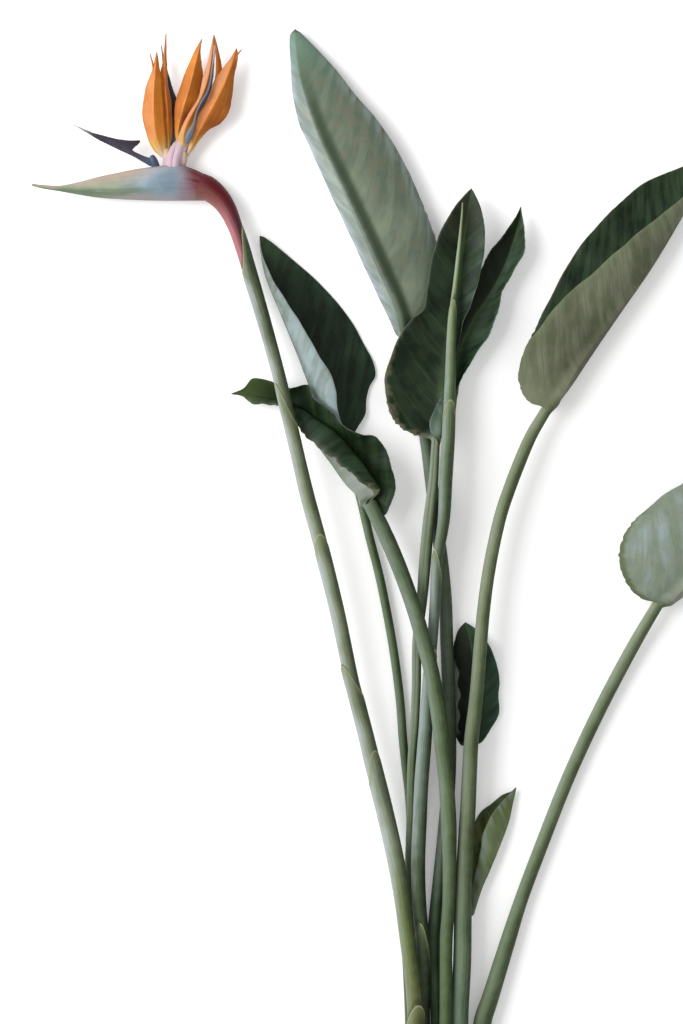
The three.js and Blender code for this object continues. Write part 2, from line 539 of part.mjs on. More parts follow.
// Joins rings of equal length into one closed solid with a cap at each end. From `mirror` on, a
// ring runs back along the other face of a blade, and its quads are split as those on the first.
function skin(rings, mirror = Infinity) {
  const size = rings[0].length;
  const points = rings.flat();
  const faces = [];
  for (let row = 0; row < rings.length - 1; row += 1) {
    for (let spot = 0; spot < size; spot += 1) {
      const [a, b] = [row * size + spot, row * size + ((spot + 1) % size)];
      const [c, d] = [b + size, a + size];
      faces.push(...(spot < mirror ? [a, b, c, a, c, d] : [a, b, d, b, c, d]));
    }
  }
  [0, rings.length - 1].forEach((row) => {
    const hub = points.length;
    points.push(middleOf(rings[row]));
    for (let spot = 0; spot < size; spot += 1) {
      const rim = [row * size + spot, row * size + ((spot + 1) % size)];
      faces.push(hub, ...(row === 0 ? rim.reverse() : rim));
    }
  });
  return toSolid(points, faces);
}

function middleOf(points) {
  const sum = points.reduce((total, point) => total.add(point), new THREE.Vector3());
  return sum.divideScalar(points.length);
}

// Rests the lowest points on the surface and turns the faces out.
function toSolid(points, faces) {
  const vertProperties = new Float32Array(points.flatMap((p) => [p.x, p.y, Math.max(p.z, 0)]));
  const triVerts = new Uint32Array(faces);
  if (signedVolume(vertProperties, triVerts) < 0) triVerts.reverse();
  return new wasm.Manifold(new wasm.Mesh({ numProp: 3, vertProperties, triVerts }));
}

function signedVolume(spots, triangles) {
  const corner = (vertex) => new THREE.Vector3().fromArray(spots, vertex * 3);
  let sum = 0;
  for (let start = 0; start < triangles.length; start += 3) {
    const [a, b, c] = [0, 1, 2].map((step) => corner(triangles[start + step]));
    sum += a.dot(b.cross(c));
  }
  return sum;
}

// ---- stems and sheaths -----------------------------------------------------------------------

// The middle of a stem, its radius and two directions across it, at a spot from 0 to 1 that counts
// the rows evenly: its own right, level with the surface, and its top.
function stemSpot(rows) {
  const path = curveThrough(rows);
  const radii = rows.map((row) => row[3]);
  return (spot) => {
    const tangent = path.getTangent(spot);
    const right = new THREE.Vector3().crossVectors(tangent, UP).normalize();
    const top = new THREE.Vector3().crossVectors(right, tangent);
    return { center: path.getPoint(spot), radius: along(radii, spot), tangent, right, top };
  };
}

// A ring of points round a stem. `push` moves each along the stem by an amount for its turn.
function ringAround({ center, radius, tangent, right, top }, { sides, grow = 0, roll = 0, push }) {
  return Array.from({ length: sides }, (_, spot) => {
    const turn = Math.PI - ((spot + 0.5) * 2 * Math.PI) / sides + roll;
    return center
      .clone()
      .addScaledVector(right, (radius + grow) * Math.cos(turn))
      .addScaledVector(top, (radius + grow) * Math.sin(turn))
      .addScaledVector(tangent, push ? push(turn) : 0);
  });
}

// Spots for the rings of a stem: one at each row, and more where two rows lie far apart.
function ringSpots(rows, step) {
  const spans = rows.length - 1;
  const spots = rows.slice(1).flatMap((row, index) => {
    const parts = Math.ceil(place(row).distanceTo(place(rows[index])) / step);
    return Array.from({ length: parts }, (_, part) => (index + part / parts) / spans);
  });
  return [...spots, 1];
}

function stem(rows, { sides = STEM_SIDES, grow = 0, step = STEM_STEP } = {}) {
  const at = stemSpot(rows);
  const rings = ringSpots(rows, step).map((spot) => ringAround(at(spot), { sides, grow }));
  stretch(rings[0], at(0).tangent, -grow);
  stretch(rings.at(-1), at(1).tangent, grow);
  return skin(rings);
}

function stretch(ring, tangent, length) {
  ring.forEach((point) => point.addScaledVector(tangent, length));
}

// A sheath is a thin coat round a stem that starts at a ring scar and ends in a pointed mouth.
function sheath(rows, { from, to, tip, side }) {
  const at = stemSpot(rows);
  const path = curveThrough(rows);
  const crest = (turn) => ((1 + Math.cos(turn - THREE.MathUtils.degToRad(side))) / 2) ** 2;
  const coat = SHEATH_ROWS.map((share) => {
    const spot = path.getUtoTmapping(THREE.MathUtils.lerp(from, to, share));
    const push = (turn) => tip * share ** 3 * (crest(turn) - MOUTH_LEVEL);
    return { spot, push };
  });
  const ring = ({ spot, push }, grow) => ringAround(at(spot), { sides: STEM_SIDES, grow, push });
  const rings = coat.map((place, index) => ring(place, index === 0 ? SHEATH_SCAR : SHEATH_COAT));
  return skin([ring(coat[0], -SHEATH_ROOT), ...rings, ring(coat.at(-1), -SHEATH_ROOT)]);
}

function sheathedStalk(rows, sheaths) {
  return sheaths.reduce((body, one) => body.add(sheath(rows, one)), stem(rows));
}

// ---- blades ----------------------------------------------------------------------------------

// Shares of the way along a blade, closer together at its base and at its tip.
function stationShares(rows) {
  return Array.from({ length: rows }, (_, row) => {
    const even = (row + 1) / rows;
    const eased = (1 - Math.cos(Math.PI * even)) / 2;
    return BLADE_END * THREE.MathUtils.lerp(even, eased, 0.5);
  });
}

// One half of a blade at a share along it: a function from 0 at the rib to 1 at the margin.
function halfBlade({ rib, margin, bulge, wave, phase, grow }, share) {
  const root = rib.getPointAt(share);
  const edge = margin.getPointAt(share);
  const span = edge.clone().sub(root);
  const reach = Math.max(span.length(), MIN_SPAN);
  span.setLength(reach + grow);
  const offset = offsetAlong(bulge, share);
  const lift = new THREE.Vector3().crossVectors(span, rib.getTangentAt(share)).normalize();
  const ripple = Math.sin(2 * Math.PI * wave.count * share + phase) * Math.sin(Math.PI * share) ** 0.5;
  return (s) => root
    .clone()
    .addScaledVector(span, s)
    .addScaledVector(offset, 4 * s * (1 - s) * Math.min(1, reach / FULL_SPAN))
    .addScaledVector(lift, wave.height * s ** 2 * ripple);
}

// The middle surface of a blade as rows of points from the first margin to the second.
function bladeGrid(spec, grow) {
  const rib = curveThrough(spec.rib);
  const wave = spec.wave ?? { height: 0, count: 0 };
  const none = [[0, 0, 0], [0, 0, 0]];
  const first = { rib, margin: curveThrough(spec.first), bulge: spec.firstBulge ?? none, wave, phase: 0, grow };
  const second = { rib, margin: curveThrough(spec.second), bulge: spec.secondBulge ?? none, wave, phase: 2, grow };
  const columns = spec.columns ?? SEPAL_COLUMNS;
  return stationShares(spec.rows ?? SEPAL_ROWS).map((share) => {
    const [left, right] = [halfBlade(first, share), halfBlade(second, share)];
    const points = [
      ...columns.toReversed().map((s) => left(s)),
      rib.getPointAt(share),
      ...columns.map((s) => right(s)),
    ];
    return { share, points };
  });
}

// Turns the middle surface into rings that run over its upper face and back under its lower one.
function bladeRings(spec, grow = 0) {
  const grid = bladeGrid(spec, grow);
  const edge = (spec.edge ?? SEPAL_EDGE) / 2 + grow;
  const root = spec.ribRadius ?? 0;
  return grid.map(({ share, points }, row) => {
    const ahead = grid[Math.min(row + 1, grid.length - 1)].points;
    const behind = grid[Math.max(row - 1, 0)].points;
    const rise = MIDRIB_RISE * root * (1 - share) ** 1.3;
    const breadth = root * (1 - share) + 1;
    const rib = points[(points.length - 1) / 2];
    const faces = points.map((point, column) => {
      const across = points[Math.min(column + 1, points.length - 1)].clone();
      across.sub(points[Math.max(column - 1, 0)]);
      const normal = across.cross(ahead[column].clone().sub(behind[column])).normalize();
      const ridge = rise * Math.exp(-((point.distanceTo(rib) / breadth) ** 2));
      return {
        upper: point.clone().addScaledVector(normal, edge + RIB_SHARE_ABOVE * ridge),
        lower: point.clone().addScaledVector(normal, -edge - ridge),
      };
    });
    return [...faces.map(({ upper }) => upper), ...faces.toReversed().map(({ lower }) => lower)];
  });
}

function blade(spec, grow = 0) {
  const rings = bladeRings(spec, grow);
  const rib = curveThrough(spec.rib);
  stretch(rings[0], rib.getTangentAt(0), -grow);
  stretch(rings.at(-1), rib.getTangentAt(1), grow);
  return skin(rings, rings[0].length / 2);
}

// A leaf is one loft: its petiole's rings, turned to face as the blade does, then the blade's.
function leaf({ petiole, ...shape }) {
  const rings = bladeRings({ ...shape, edge: LEAF_EDGE, columns: LEAF_COLUMNS, ribRadius: petiole.at(-1)[3] });
  const sides = rings[0].length;
  const at = stemSpot(petiole);
  const { right, top } = at(1);
  const across = rings[0][sides / 2 - 1].clone().sub(rings[0][0]);
  const roll = Math.atan2(across.dot(top), across.dot(right));
  const spots = ringSpots(petiole, PETIOLE_STEP);
  return skin([...spots.map((spot) => ringAround(at(spot), { sides, roll })), ...rings], sides / 2);
}

// ---- the flower head -------------------------------------------------------------------------

function leftSepals(grow = 0) {
  const body = LEFT_SEPALS.map((spec) => blade(spec, grow)).reduce((all, one) => all.add(one));
  return body.add(stem(LEFT_CLAW, { sides: 8, grow })).add(stem(LEFT_POINT, { sides: 6, grow }));
}

function rightSepals(grow = 0) {
  const body = RIGHT_SEPALS.map((spec) => blade(spec, grow)).reduce((all, one) => all.add(one));
  return body.add(stem(RIGHT_CLAW, { sides: 8, grow })).add(stem(RIGHT_POINT, { sides: 6, grow }));
}

function loosePetal(grow = 0) {
  return blade(LOOSE_PETAL, grow).add(stem(PETAL_FOOT, { sides: 8, grow }));
}

// Cuts the room for other pieces out of a piece, and keeps what holds together.
function seated(solid, others) {
  const cut = others.reduce((body, other) => body.subtract(other), solid);
  return cut.decompose().reduce((best, one) => (one.volume() > best.volume() ? one : best));
}

function flowerHead() {
  const spatheRoom = blade(SPATHE, FIT_GAP);
  const rightRoom = rightSepals(FIT_GAP);
  const leftRoom = leftSepals(FIT_GAP);
  const petal = seated(loosePetal(), [spatheRoom, leftRoom]);
  const tongues = [
    seated(blade(LEFT_TONGUE), [leftRoom, rightRoom]),
    seated(blade(RIGHT_TONGUE), [rightRoom]),
  ];
  const tongueRoom = [blade(LEFT_TONGUE, FIT_GAP), blade(RIGHT_TONGUE, FIT_GAP)];
  const throatRoom = [spatheRoom, rightRoom, leftRoom, loosePetal(FIT_GAP), ...tongueRoom];
  return {
    spathe: [seated(blade(SPATHE), [stem(FLOWER_STALK, { grow: FIT_GAP })]), FINISH.spathe],
    throat: [seated(stem(THROAT, { sides: 10 }), throatRoom), FINISH.throat],
    sepals_left_flower: [seated(leftSepals(), [spatheRoom]), FINISH.sepal],
    sepals_right_flower: [seated(rightSepals(), [spatheRoom, leftRoom]), FINISH.sepal],
    tongue_left_flower: [tongues[0], FINISH.petal],
    tongue_right_flower: [tongues[1], FINISH.petal],
    loose_petal: [petal, FINISH.petal],
  };
}

// ---- assembly --------------------------------------------------------------------------------

function toGeometry(solid) {
  const { vertProperties, triVerts } = solid.getMesh();
  const geometry = new THREE.BufferGeometry();
  geometry.setAttribute("position", new THREE.BufferAttribute(vertProperties, 3));
  geometry.setIndex(new THREE.BufferAttribute(triVerts, 1));
  geometry.computeVertexNormals();
  return geometry;
}

function toMesh(name, solid, finish) {
  const material = new THREE.MeshStandardMaterial({ ...finish, metalness: 0 });
  const mesh = new THREE.Mesh(toGeometry(solid), material);
  mesh.name = name;
  return mesh;
}

function cutFan() {
  const fan = new THREE.Group();
  fan.add(toMesh("flower_stalk", sheathedStalk(FLOWER_STALK, FLOWER_SHEATHS), FINISH.stalk));
  fan.add(toMesh("bud_stalk", sheathedStalk(BUD_STALK, BUD_SHEATHS), FINISH.stalk));
  Object.entries(LEAVES).forEach(([name, { finish, ...shape }]) => {
    fan.add(toMesh(name, leaf(shape), finish));
  });
  Object.entries(flowerHead()).forEach(([name, [solid, finish]]) => {
    fan.add(toMesh(name, solid, finish));
  });
  return fan;
}

export default cutFan();
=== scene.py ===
"""Looks for a cut fan of bird of paradise: nine leaves, two stalks and an open flower, lying flat.

Control values are (across, down, up) in millimetres from the left and the top edge of a flat sheet
that the fan lies on. A stem adds its radius. They are the ones that the part's solids are made
from, evaluated here with more rows and columns, so each piece lies where its solid lies.
"""

import logging
import math
from collections.abc import Callable
from dataclasses import dataclass, replace
from enum import Enum
from functools import cache, cached_property

import bpy
import numpy as np
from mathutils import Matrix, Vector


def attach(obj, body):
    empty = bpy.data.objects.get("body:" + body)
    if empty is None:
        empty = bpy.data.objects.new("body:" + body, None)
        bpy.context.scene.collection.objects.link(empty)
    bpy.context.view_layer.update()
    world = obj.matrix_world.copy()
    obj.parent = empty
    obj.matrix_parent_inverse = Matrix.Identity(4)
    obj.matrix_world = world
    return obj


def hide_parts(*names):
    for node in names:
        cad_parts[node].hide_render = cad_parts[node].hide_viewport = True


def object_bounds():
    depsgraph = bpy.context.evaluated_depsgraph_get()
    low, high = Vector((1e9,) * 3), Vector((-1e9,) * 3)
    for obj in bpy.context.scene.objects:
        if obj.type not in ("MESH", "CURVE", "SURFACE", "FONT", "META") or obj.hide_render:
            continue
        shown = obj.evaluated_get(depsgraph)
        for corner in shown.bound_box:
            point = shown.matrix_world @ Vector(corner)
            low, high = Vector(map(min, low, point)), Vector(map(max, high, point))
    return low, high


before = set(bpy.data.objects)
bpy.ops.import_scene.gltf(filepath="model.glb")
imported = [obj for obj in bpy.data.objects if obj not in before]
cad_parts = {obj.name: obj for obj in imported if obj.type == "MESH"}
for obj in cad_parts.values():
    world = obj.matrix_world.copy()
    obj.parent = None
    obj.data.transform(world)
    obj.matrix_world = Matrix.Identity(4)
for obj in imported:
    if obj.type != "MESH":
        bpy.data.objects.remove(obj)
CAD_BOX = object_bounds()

log = logging.getLogger("cut_fan")

Rows = tuple[tuple[float, ...], ...]
Colour = tuple[float, float, float]
Stops = tuple[tuple[float, Colour], ...]
Fields = dict[str, object]
Array = np.ndarray
Marks = dict[str, Array]
Socket = bpy.types.NodeSocket
Material = bpy.types.Material
Piece = bpy.types.Object
Tree = bpy.types.NodeTree

SHEET_ORIGIN = (394.0, 556.5)  # the spot of the sheet under the model's origin, in mm
MM = 0.001
UP = np.array((0.0, 0.0, 1.0))
FLAT: Rows = ((0, 0, 0), (0, 0, 0))
CUT_SHARE = 0.0003  # share of a stem at which its first ring lies, a hair inside the cut
FIBRE_RUN = 0.05  # how far the fibres' pattern moves on for each mm of length


@dataclass(frozen=True)
class Sheath:
    """A pointed sheath round a stalk: where it starts and ends, its tip in mm and its turn."""

    start: float
    end: float
    tip: float
    side: float


@dataclass(frozen=True)
class Teeth:
    """The torn edge of a margin: its depth in mm, and the shares that it starts and ends at."""

    depth: float = 0.0
    start: float = 0.0
    end: float = 1.0


class Half(Enum):
    """The two halves of a blade; the value is where the half's wave starts."""

    FIRST = 0
    SECOND = 2


# ---- control values ----


def outline(rib: Rows, first: Rows, second: Rows, **rest: object) -> Fields:
    """Gives a blade's fields, with both margins made to start and end where its rib does."""
    first, second = ((rib[0], *margin, rib[-1]) for margin in (first, second))
    return {"rib": rib, "first": first, "second": second, **rest}


def leaf_rows(petiole: Rows, rib: Rows, **rest: object) -> Fields:
    """Gives a leaf's rows by name, with the blade's rib made to start where the petiole ends."""
    return {"petiole": petiole, **outline((petiole[-1][:3], *rib), **rest)}


def mirrored(rows: Rows, level: float) -> Rows:
    """Turns rows upside down about a level."""
    return tuple((across, down, 2 * level - up) for across, down, up in rows)


FLOWER_STALK: Rows = ((416, 1085, 31.4, 8.4), (415.5, 1020, 32.7, 8.4), (412.9, 980, 32.4, 8.2),
    (407.5, 940, 30, 7.6), (402.5, 900, 27.5, 7.8), (395.8, 860, 26, 8.1), (384.6, 810, 24.5, 8),
    (372, 760, 24, 7.8), (367.2, 740, 24, 7.4), (357, 700, 25, 7), (351.8, 680, 26, 6.9),
    (337, 610, 28.5, 6.9), (319.5, 540, 31, 6.9), (308.6, 500, 33, 6.8), (299, 460, 34.5, 6.2),
    (289.6, 420, 35.5, 6.2), (281.5, 385, 35, 6.1), (269.5, 340, 30, 6.2), (258, 300, 23, 6.6),
    (252, 280, 20, 6.9), (246, 260, 18.8, 6.7), (240.5, 243, 17.5, 6.7), (237, 232, 16.5, 7.1),
    (233.5, 222.5, 15.7, 7.8), (228.5, 211.5, 15, 8.9), (222, 201.5, 14.5, 10.2), (214.4, 193.8, 14, 11.4),
    (206.5, 188.6, 13.6, 12.7), (199.2, 186.9, 13.5, 13.2))
BUD_STALK: Rows = ((424.5, 1085, 16.4, 7.1), (422.2, 1020, 16.3, 7), (422.2, 980, 17.6, 7),
    (422, 940, 18.8, 7), (418.8, 900, 20.8, 7.1), (417.8, 860, 21.2, 7.1), (419.4, 820, 21.2, 7.1),
    (421.2, 780, 21.2, 7), (424.4, 740, 21.6, 6.6), (427, 700, 22.4, 5.8), (429.3, 670, 22.8, 5.4),
    (432, 640, 24.4, 5.1), (434.6, 600, 28, 4.8), (437, 560, 29.6, 5), (443.2, 520, 31, 5.8),
    (445.2, 480, 31.6, 6.2), (447.6, 440, 32.2, 5.9), (448.8, 400, 31.6, 5.5), (450, 370, 30, 4.9),
    (450.8, 340, 28.6, 4.2), (452.3, 310, 27.6, 3.2), (455, 285, 27, 2.6), (457.6, 260, 27, 2.3),
    (460, 235, 27, 1.7), (461.6, 215, 26.6, 1.1), (462, 204, 26.4, 0.6))
LEFT_CLAW: Rows = ((168, 166, 14, 3.4), (167.5, 158, 15, 4), (166.5, 149, 16, 3))
LEFT_POINT: Rows = ((155.5, 80, 21.6, 1.4), (153.5, 66, 22, 1), (150.5, 54.5, 22, 0.5))
RIGHT_CLAW: Rows = ((182, 167, 13.5, 4), (183, 160, 14.4, 5), (184, 152, 15.6, 4))
RIGHT_POINT: Rows = ((236, 62, 20.4, 1), (238.6, 55.5, 20.6, 0.8), (242.5, 51, 21, 0.5))
PETAL_FOOT: Rows = ((157, 172, 13.5, 3.4), (156, 166.5, 15.4, 4.2), (153.8, 160.5, 17, 3.8),
    (152.4, 156, 17.4, 2))
FLOWER_SHEATHS = (
    Sheath(0.02, 0.073, 22, 70), Sheath(0.15, 0.337, 34, 55), Sheath(0.29, 0.432, 36, 140),
    Sheath(0.4, 0.58, 26, 80), Sheath(0.52, 0.73, 46, 150), Sheath(0.68, 0.904, 44, 20),
)
BUD_SHEATHS = (
    Sheath(0.02, 0.15, 46, 110), Sheath(0.34, 0.475, 26, 60), Sheath(0.5, 0.585, 30, 130),
    Sheath(0.6, 0.76, 22, 80), Sheath(0.75, 0.87, 26, 90),
)
DIP: Rows = ((0, 0, 0), (0, 0, -2), (0, 0, -2), (0, 0, 0))
LEAVES: dict[str, Fields] = {}
LEAVES["leaf_tall"] = leaf_rows(
    petiole=((438.6, 1085, 6.8, 7), (437, 1020, 6.8, 6.6), (433.5, 940, 7, 6.4), (439, 880, 7, 6.5),
        (443.4, 840, 7, 6.7), (447.2, 800, 7.4, 7), (449.2, 760, 8, 7), (449, 720, 9, 6.8),
        (448, 680, 9.6, 6.6), (446.5, 640, 9.4, 6.6), (445.2, 600, 8.6, 6.6), (441.4, 560, 7.6, 6.6),
        (436, 520, 7, 6.4), (431, 480, 7, 6.4), (426.5, 445, 7, 6.2), (419.5, 405, 7.6, 6),
        (413, 370, 9, 5.6), (408, 345, 12, 5)),
    rib=((400, 310, 19), (380, 265, 28), (360, 222, 33), (340, 180, 34), (320, 138, 32), (309, 108, 28),
        (299, 70, 18), (295, 28, 6)),
    first=((424, 335, 11), (438, 312, 11), (443, 285, 12), (440, 256, 13), (430.6, 225.6, 14),
        (413, 183, 16), (393.6, 146, 17), (375, 119, 17), (355, 96, 15), (335, 70, 12), (310, 43, 8)),
    second=((399, 339, 6), (389, 318, 3), (368.8, 275.5, 2), (348.4, 230.7, 1.6), (328.2, 187.8, 1.6),
        (308.6, 143.6, 1.6), (301, 127.4, 2), (294, 100, 3), (291, 62, 5), (290.5, 36, 6)),
    first_bulge=((0, 0, 2), (2, -1, 6), (2, -1, 5), (0, 0, 1)),
    second_bulge=((0, 0, 0), (-2, 0, 2), (-2, 0, 2), (0, 0, 0)),
    wave=(0.9, 9),
)
LEAVES["leaf_dark"] = leaf_rows(
    petiole=((418.9, 1085, 4.6, 4.4), (417.8, 1020, 4.6, 4.4), (416.2, 980, 6.2, 4.4),
        (412.9, 940, 9.8, 4.4), (410.6, 900, 12.2, 4.3), (409.4, 860, 13.2, 4.2), (410.4, 815, 13.6, 4.2),
        (411.4, 765, 13.8, 4.3), (414.5, 720, 15, 4.5), (416, 690, 16, 4.6), (417, 640, 18.6, 4.9),
        (421.5, 600, 20, 5.4), (424.8, 560, 21, 6.1), (428.4, 520, 22, 5.8), (433, 480, 23.4, 4.8),
        (435, 446, 24, 4.2)),
    rib=((439, 410, 22), (444, 370, 21), (450, 330, 20), (455, 300, 20), (461, 255, 20), (466, 222, 19),
        (471, 189, 17)),
    first=((430, 441, 25), (415, 436, 26), (401, 429, 26), (391, 418, 26), (386, 402, 26),
        (384.5, 380, 26.5), (390, 360, 27), (399, 338, 28), (412, 320, 28), (422, 312, 28), (426, 298, 28),
        (430, 268, 28), (439, 236, 27), (452, 212, 24), (461, 200, 21)),
    second=((438, 443, 25), (432.5, 437, 28), (429.5, 426, 31), (431, 416, 31), (437, 405, 28.5),
        (444, 394, 25), (451, 375, 23.5), (457, 350, 23), (463, 322, 23.5), (470, 306, 24.5),
        (478, 280, 26), (483.5, 250, 26.5), (484, 236, 26), (481, 213, 23), (474, 195, 18.5)),
    first_bulge=((0, 0, -1), (0, 0, -2), (0, 0, -2), (0, 0, 0)),
    second_bulge=((3, 0, -1), (1, 0, -1.5), (0, 0, -2), (0, 0, 0)),
    wave=(1, 10),
)
LEAVES["leaf_narrow"] = leaf_rows(
    petiole=((427.6, 1085, 4.2, 3.8), (426.4, 1020, 4.2, 3.8), (424.6, 980, 4.2, 3.8),
        (421.8, 940, 4.2, 3.8), (418, 860, 4.2, 3.8), (420, 800, 5.4, 3.8), (424, 740, 8.2, 3.8),
        (428.5, 680, 11.6, 3.7), (432, 640, 14.4, 3.7), (435.5, 600, 17.6, 3.6), (438.5, 560, 19, 3.6),
        (441.5, 520, 19.4, 3.6), (445, 480, 18.4, 3.6), (449, 440, 16.4, 3.6), (453, 402, 14, 3.4)),
    rib=((454.5, 375, 12), (458, 350, 10), (465, 335, 9), (475, 315, 8.6), (487, 298, 8.6), (500, 275, 9),
        (510, 250, 9.6), (517, 226, 11), (520.5, 207, 12)),
    first=((451, 380, 15.5), (452.5, 355, 17), (458, 330, 18), (468, 300, 19), (477, 280, 20),
        (486, 258.4, 20.5), (500.4, 239, 20), (511, 225, 18), (518, 212.5, 14)),
    second=((456, 397, 16), (458, 386, 18), (464, 374, 20), (472, 360, 21), (480, 348, 21), (488, 336, 21),
        (493, 325, 21), (497, 312, 21), (503.6, 288, 21), (515, 268.6, 21), (523.5, 252, 20.5),
        (524.2, 237, 19), (521.5, 216, 15)),
    first_bulge=((0, 0, 0), (-2, 0, -1), (-2, 0, -1), (0, 0, 0)),
    second_bulge=((0, 0, 0), (2, 2, -2), (2, 2, -2), (0, 0, 0)),
    wave=(0.8, 7),
)
LEAVES["leaf_right"] = leaf_rows(
    petiole=((460, 1085, 18.2, 9.6), (458.4, 1020, 18.4, 9.6), (461.5, 960, 18.6, 9.3),
        (462.4, 900, 19, 9), (464, 860, 20, 8.4), (467, 810, 21.5, 8), (470.5, 740, 24, 7.6),
        (475, 700, 25, 7.2), (478.3, 660, 25.5, 7), (482.6, 610, 25.5, 6.8), (488, 570, 25, 6.7),
        (496, 530, 24, 6.6), (501.2, 510, 23.5, 6.6), (508, 490, 23, 6.6), (519.5, 460, 21.6, 6.6),
        (530.6, 435, 20.2, 6.3), (543, 414, 19, 5.8)),
    rib=((552.2, 399.2, 19), (565.4, 381.6, 19.5), (585.6, 353, 20), (616.2, 311.4, 20), (648, 268.6, 19),
        (680, 218, 16), (702, 179.5, 11), (722, 148, 7)),
    first=((534, 405, 12), (525, 385, 6), (524, 360, 3), (529, 340, 1.8), (536, 327, 1.4), (549, 301, 1.4),
        (575, 254, 1.4), (605, 218, 1.4), (645, 183, 1.8), (683, 167, 3), (706, 156, 5)),
    second=((538, 407.5, 20), (528, 403, 23), (519, 388, 28), (517, 374, 31), (520, 360, 34),
        (527, 343, 37), (540, 327, 38.5), (560, 302, 40), (590, 276, 40), (620, 249, 37), (650, 224, 32),
        (680, 200, 23), (704, 170, 13)),
    first_bulge=DIP,
    second_bulge=((3, 3, 3), (4, 4, 5), (3, 3, 4), (0, 0, 0)),
    wave=(0.9, 9),
)
LEAVES["leaf_rolled"] = leaf_rows(
    petiole=((443.8, 1085, 27.2, 6.8), (445.4, 1020, 28.2, 6.6), (446, 940, 26.8, 6.4),
        (448.4, 900, 26.4, 6.6), (449.2, 860, 27, 7.1), (448.4, 820, 27.8, 8.2), (445.8, 780, 29, 7.8),
        (441.8, 740, 31.6, 8.4), (436.5, 700, 36, 8.2), (431, 670, 38.4, 8), (423.3, 640, 38.4, 8),
        (411.3, 600, 35.4, 8), (396.5, 560, 31, 8.2), (382.5, 528, 27, 8.2), (371, 505, 24, 7.6)),
    rib=((361, 491, 22), (350.4, 478.8, 20), (335.2, 459, 18), (318, 440.8, 16), (299.4, 423.2, 14),
        (280, 404.4, 12), (259, 396.6, 10), (243.6, 394.2, 9), (231, 394, 8)),
    first=((373, 492, 32), (362, 483, 37), (350, 472, 40), (335, 460, 40), (322, 450, 37), (310, 440, 31),
        (298, 426.6, 25), (281, 407.6, 20), (263, 404, 15), (254, 404.5, 13), (243, 396.6, 10)),
    second=((384, 515, 26), (389, 507, 28), (395, 488, 30), (391, 467, 32), (385, 450, 33), (375, 437, 34),
        (360, 435, 34), (346, 428, 34), (330, 411, 32), (313, 397, 28), (308, 386, 26), (287, 389, 23),
        (268, 381, 20), (253, 379, 16), (244, 388.5, 11)),
    first_bulge=((8, -3, 4), (14, -8, 6), (12, -16, 6), (8, -12, 4), (2, -3, 2), (0, 0, 0)),
    second_bulge=((0, 0, -2), (0, 0, -4), (0, 0, -3), (0, 0, -2), (0, 0, 0)),
    wave=(0.8, 8),
)
LEAVES["leaf_folded"] = leaf_rows(
    petiole=((410, 1085, 4.2, 4.1), (409, 1020, 4.2, 4.1), (407.4, 980, 4.2, 4.1), (405.5, 940, 4.2, 4.1),
        (406.2, 900, 4.2, 4.1), (408.6, 860, 4.2, 4), (410.2, 825, 4.2, 4), (408.8, 795, 4.3, 4),
        (405.8, 768, 4.5, 4.2), (403, 740, 4.8, 4.4), (400, 700, 5, 4.4), (393.5, 650, 5.6, 4.4),
        (384.5, 600, 6.4, 4.4), (378, 570, 7, 4.4), (369, 535, 8, 4.4), (361, 500, 8.4, 4.6),
        (354, 474, 9, 4.6), (346, 448, 11, 4.4)),
    rib=((337, 425, 13), (325, 405, 14), (317, 395, 14.4), (300, 355, 15), (280, 309, 15), (266, 275, 13),
        (260.5, 248, 9), (260, 236, 7)),
    first=((345, 437, 15), (340, 420, 22), (336.5, 404, 30), (336, 393, 35), (331, 376.4, 37),
        (318.8, 356.6, 37), (304.8, 331.6, 35), (288.6, 305.8, 31), (273.6, 281.8, 25), (264, 260, 17),
        (260.5, 245, 10)),
    second=((350, 441, 9), (357, 428, 7), (365, 414, 5), (366, 400, 3.6), (369, 387, 3), (375, 376, 2.4),
        (373, 363, 2), (364, 345, 1.5), (350, 320, 1.4), (330, 295, 1.4), (310, 275, 2), (290, 258, 3),
        (272, 243, 5), (262, 236.5, 6.5)),
    first_bulge=((-3, 0, 1), (-4, 2, 3), (-3, 2, 3), (0, 0, 0)),
    second_bulge=DIP,
    wave=(0.9, 8),
)
LEAVES["leaf_far_right"] = leaf_rows(
    petiole=((476.6, 1085, 9.2, 9), (482.4, 1020, 9.3, 9.3), (488.8, 1000, 9, 8.9), (507.5, 940, 8, 7.9),
        (520.4, 900, 7.1, 6.9), (542.8, 840, 7, 6.9), (566.5, 780, 7, 6.8), (591.4, 725, 7.4, 6.8),
        (614, 680, 8.4, 6.8), (635.6, 640, 10.6, 6.6), (656, 605, 14, 6)),
    rib=((669, 596, 14), (685, 584.5, 14.4), (701, 566.5, 14.6), (715, 539, 14.6), (727, 504, 13.6),
        (738.5, 464.5, 11), (748, 425, 8), (756, 385, 5)),
    first=((642, 590, 6), (630, 565, 2), (631, 540, 1.2), (642, 520, 1.2), (662, 503, 1.2),
        (685, 490, 1.2), (705, 473, 1.6), (722, 452, 2.4), (738, 427, 3.4), (749, 404, 4.4)),
    second=((650, 603, 15), (631.4, 591.4, 20), (619, 569, 26), (617.6, 552, 28), (622, 535, 29),
        (631.4, 521.6, 29), (646.4, 508.4, 29), (665, 493, 28), (683, 482.5, 26), (701, 468, 23),
        (719, 448, 18), (736, 423, 12), (748, 401, 7)),
    first_bulge=DIP,
    second_bulge=((0, 0, 3), (0, 0, 6), (0, 0, 5), (0, 0, 0)),
    wave=(1, 8),
)
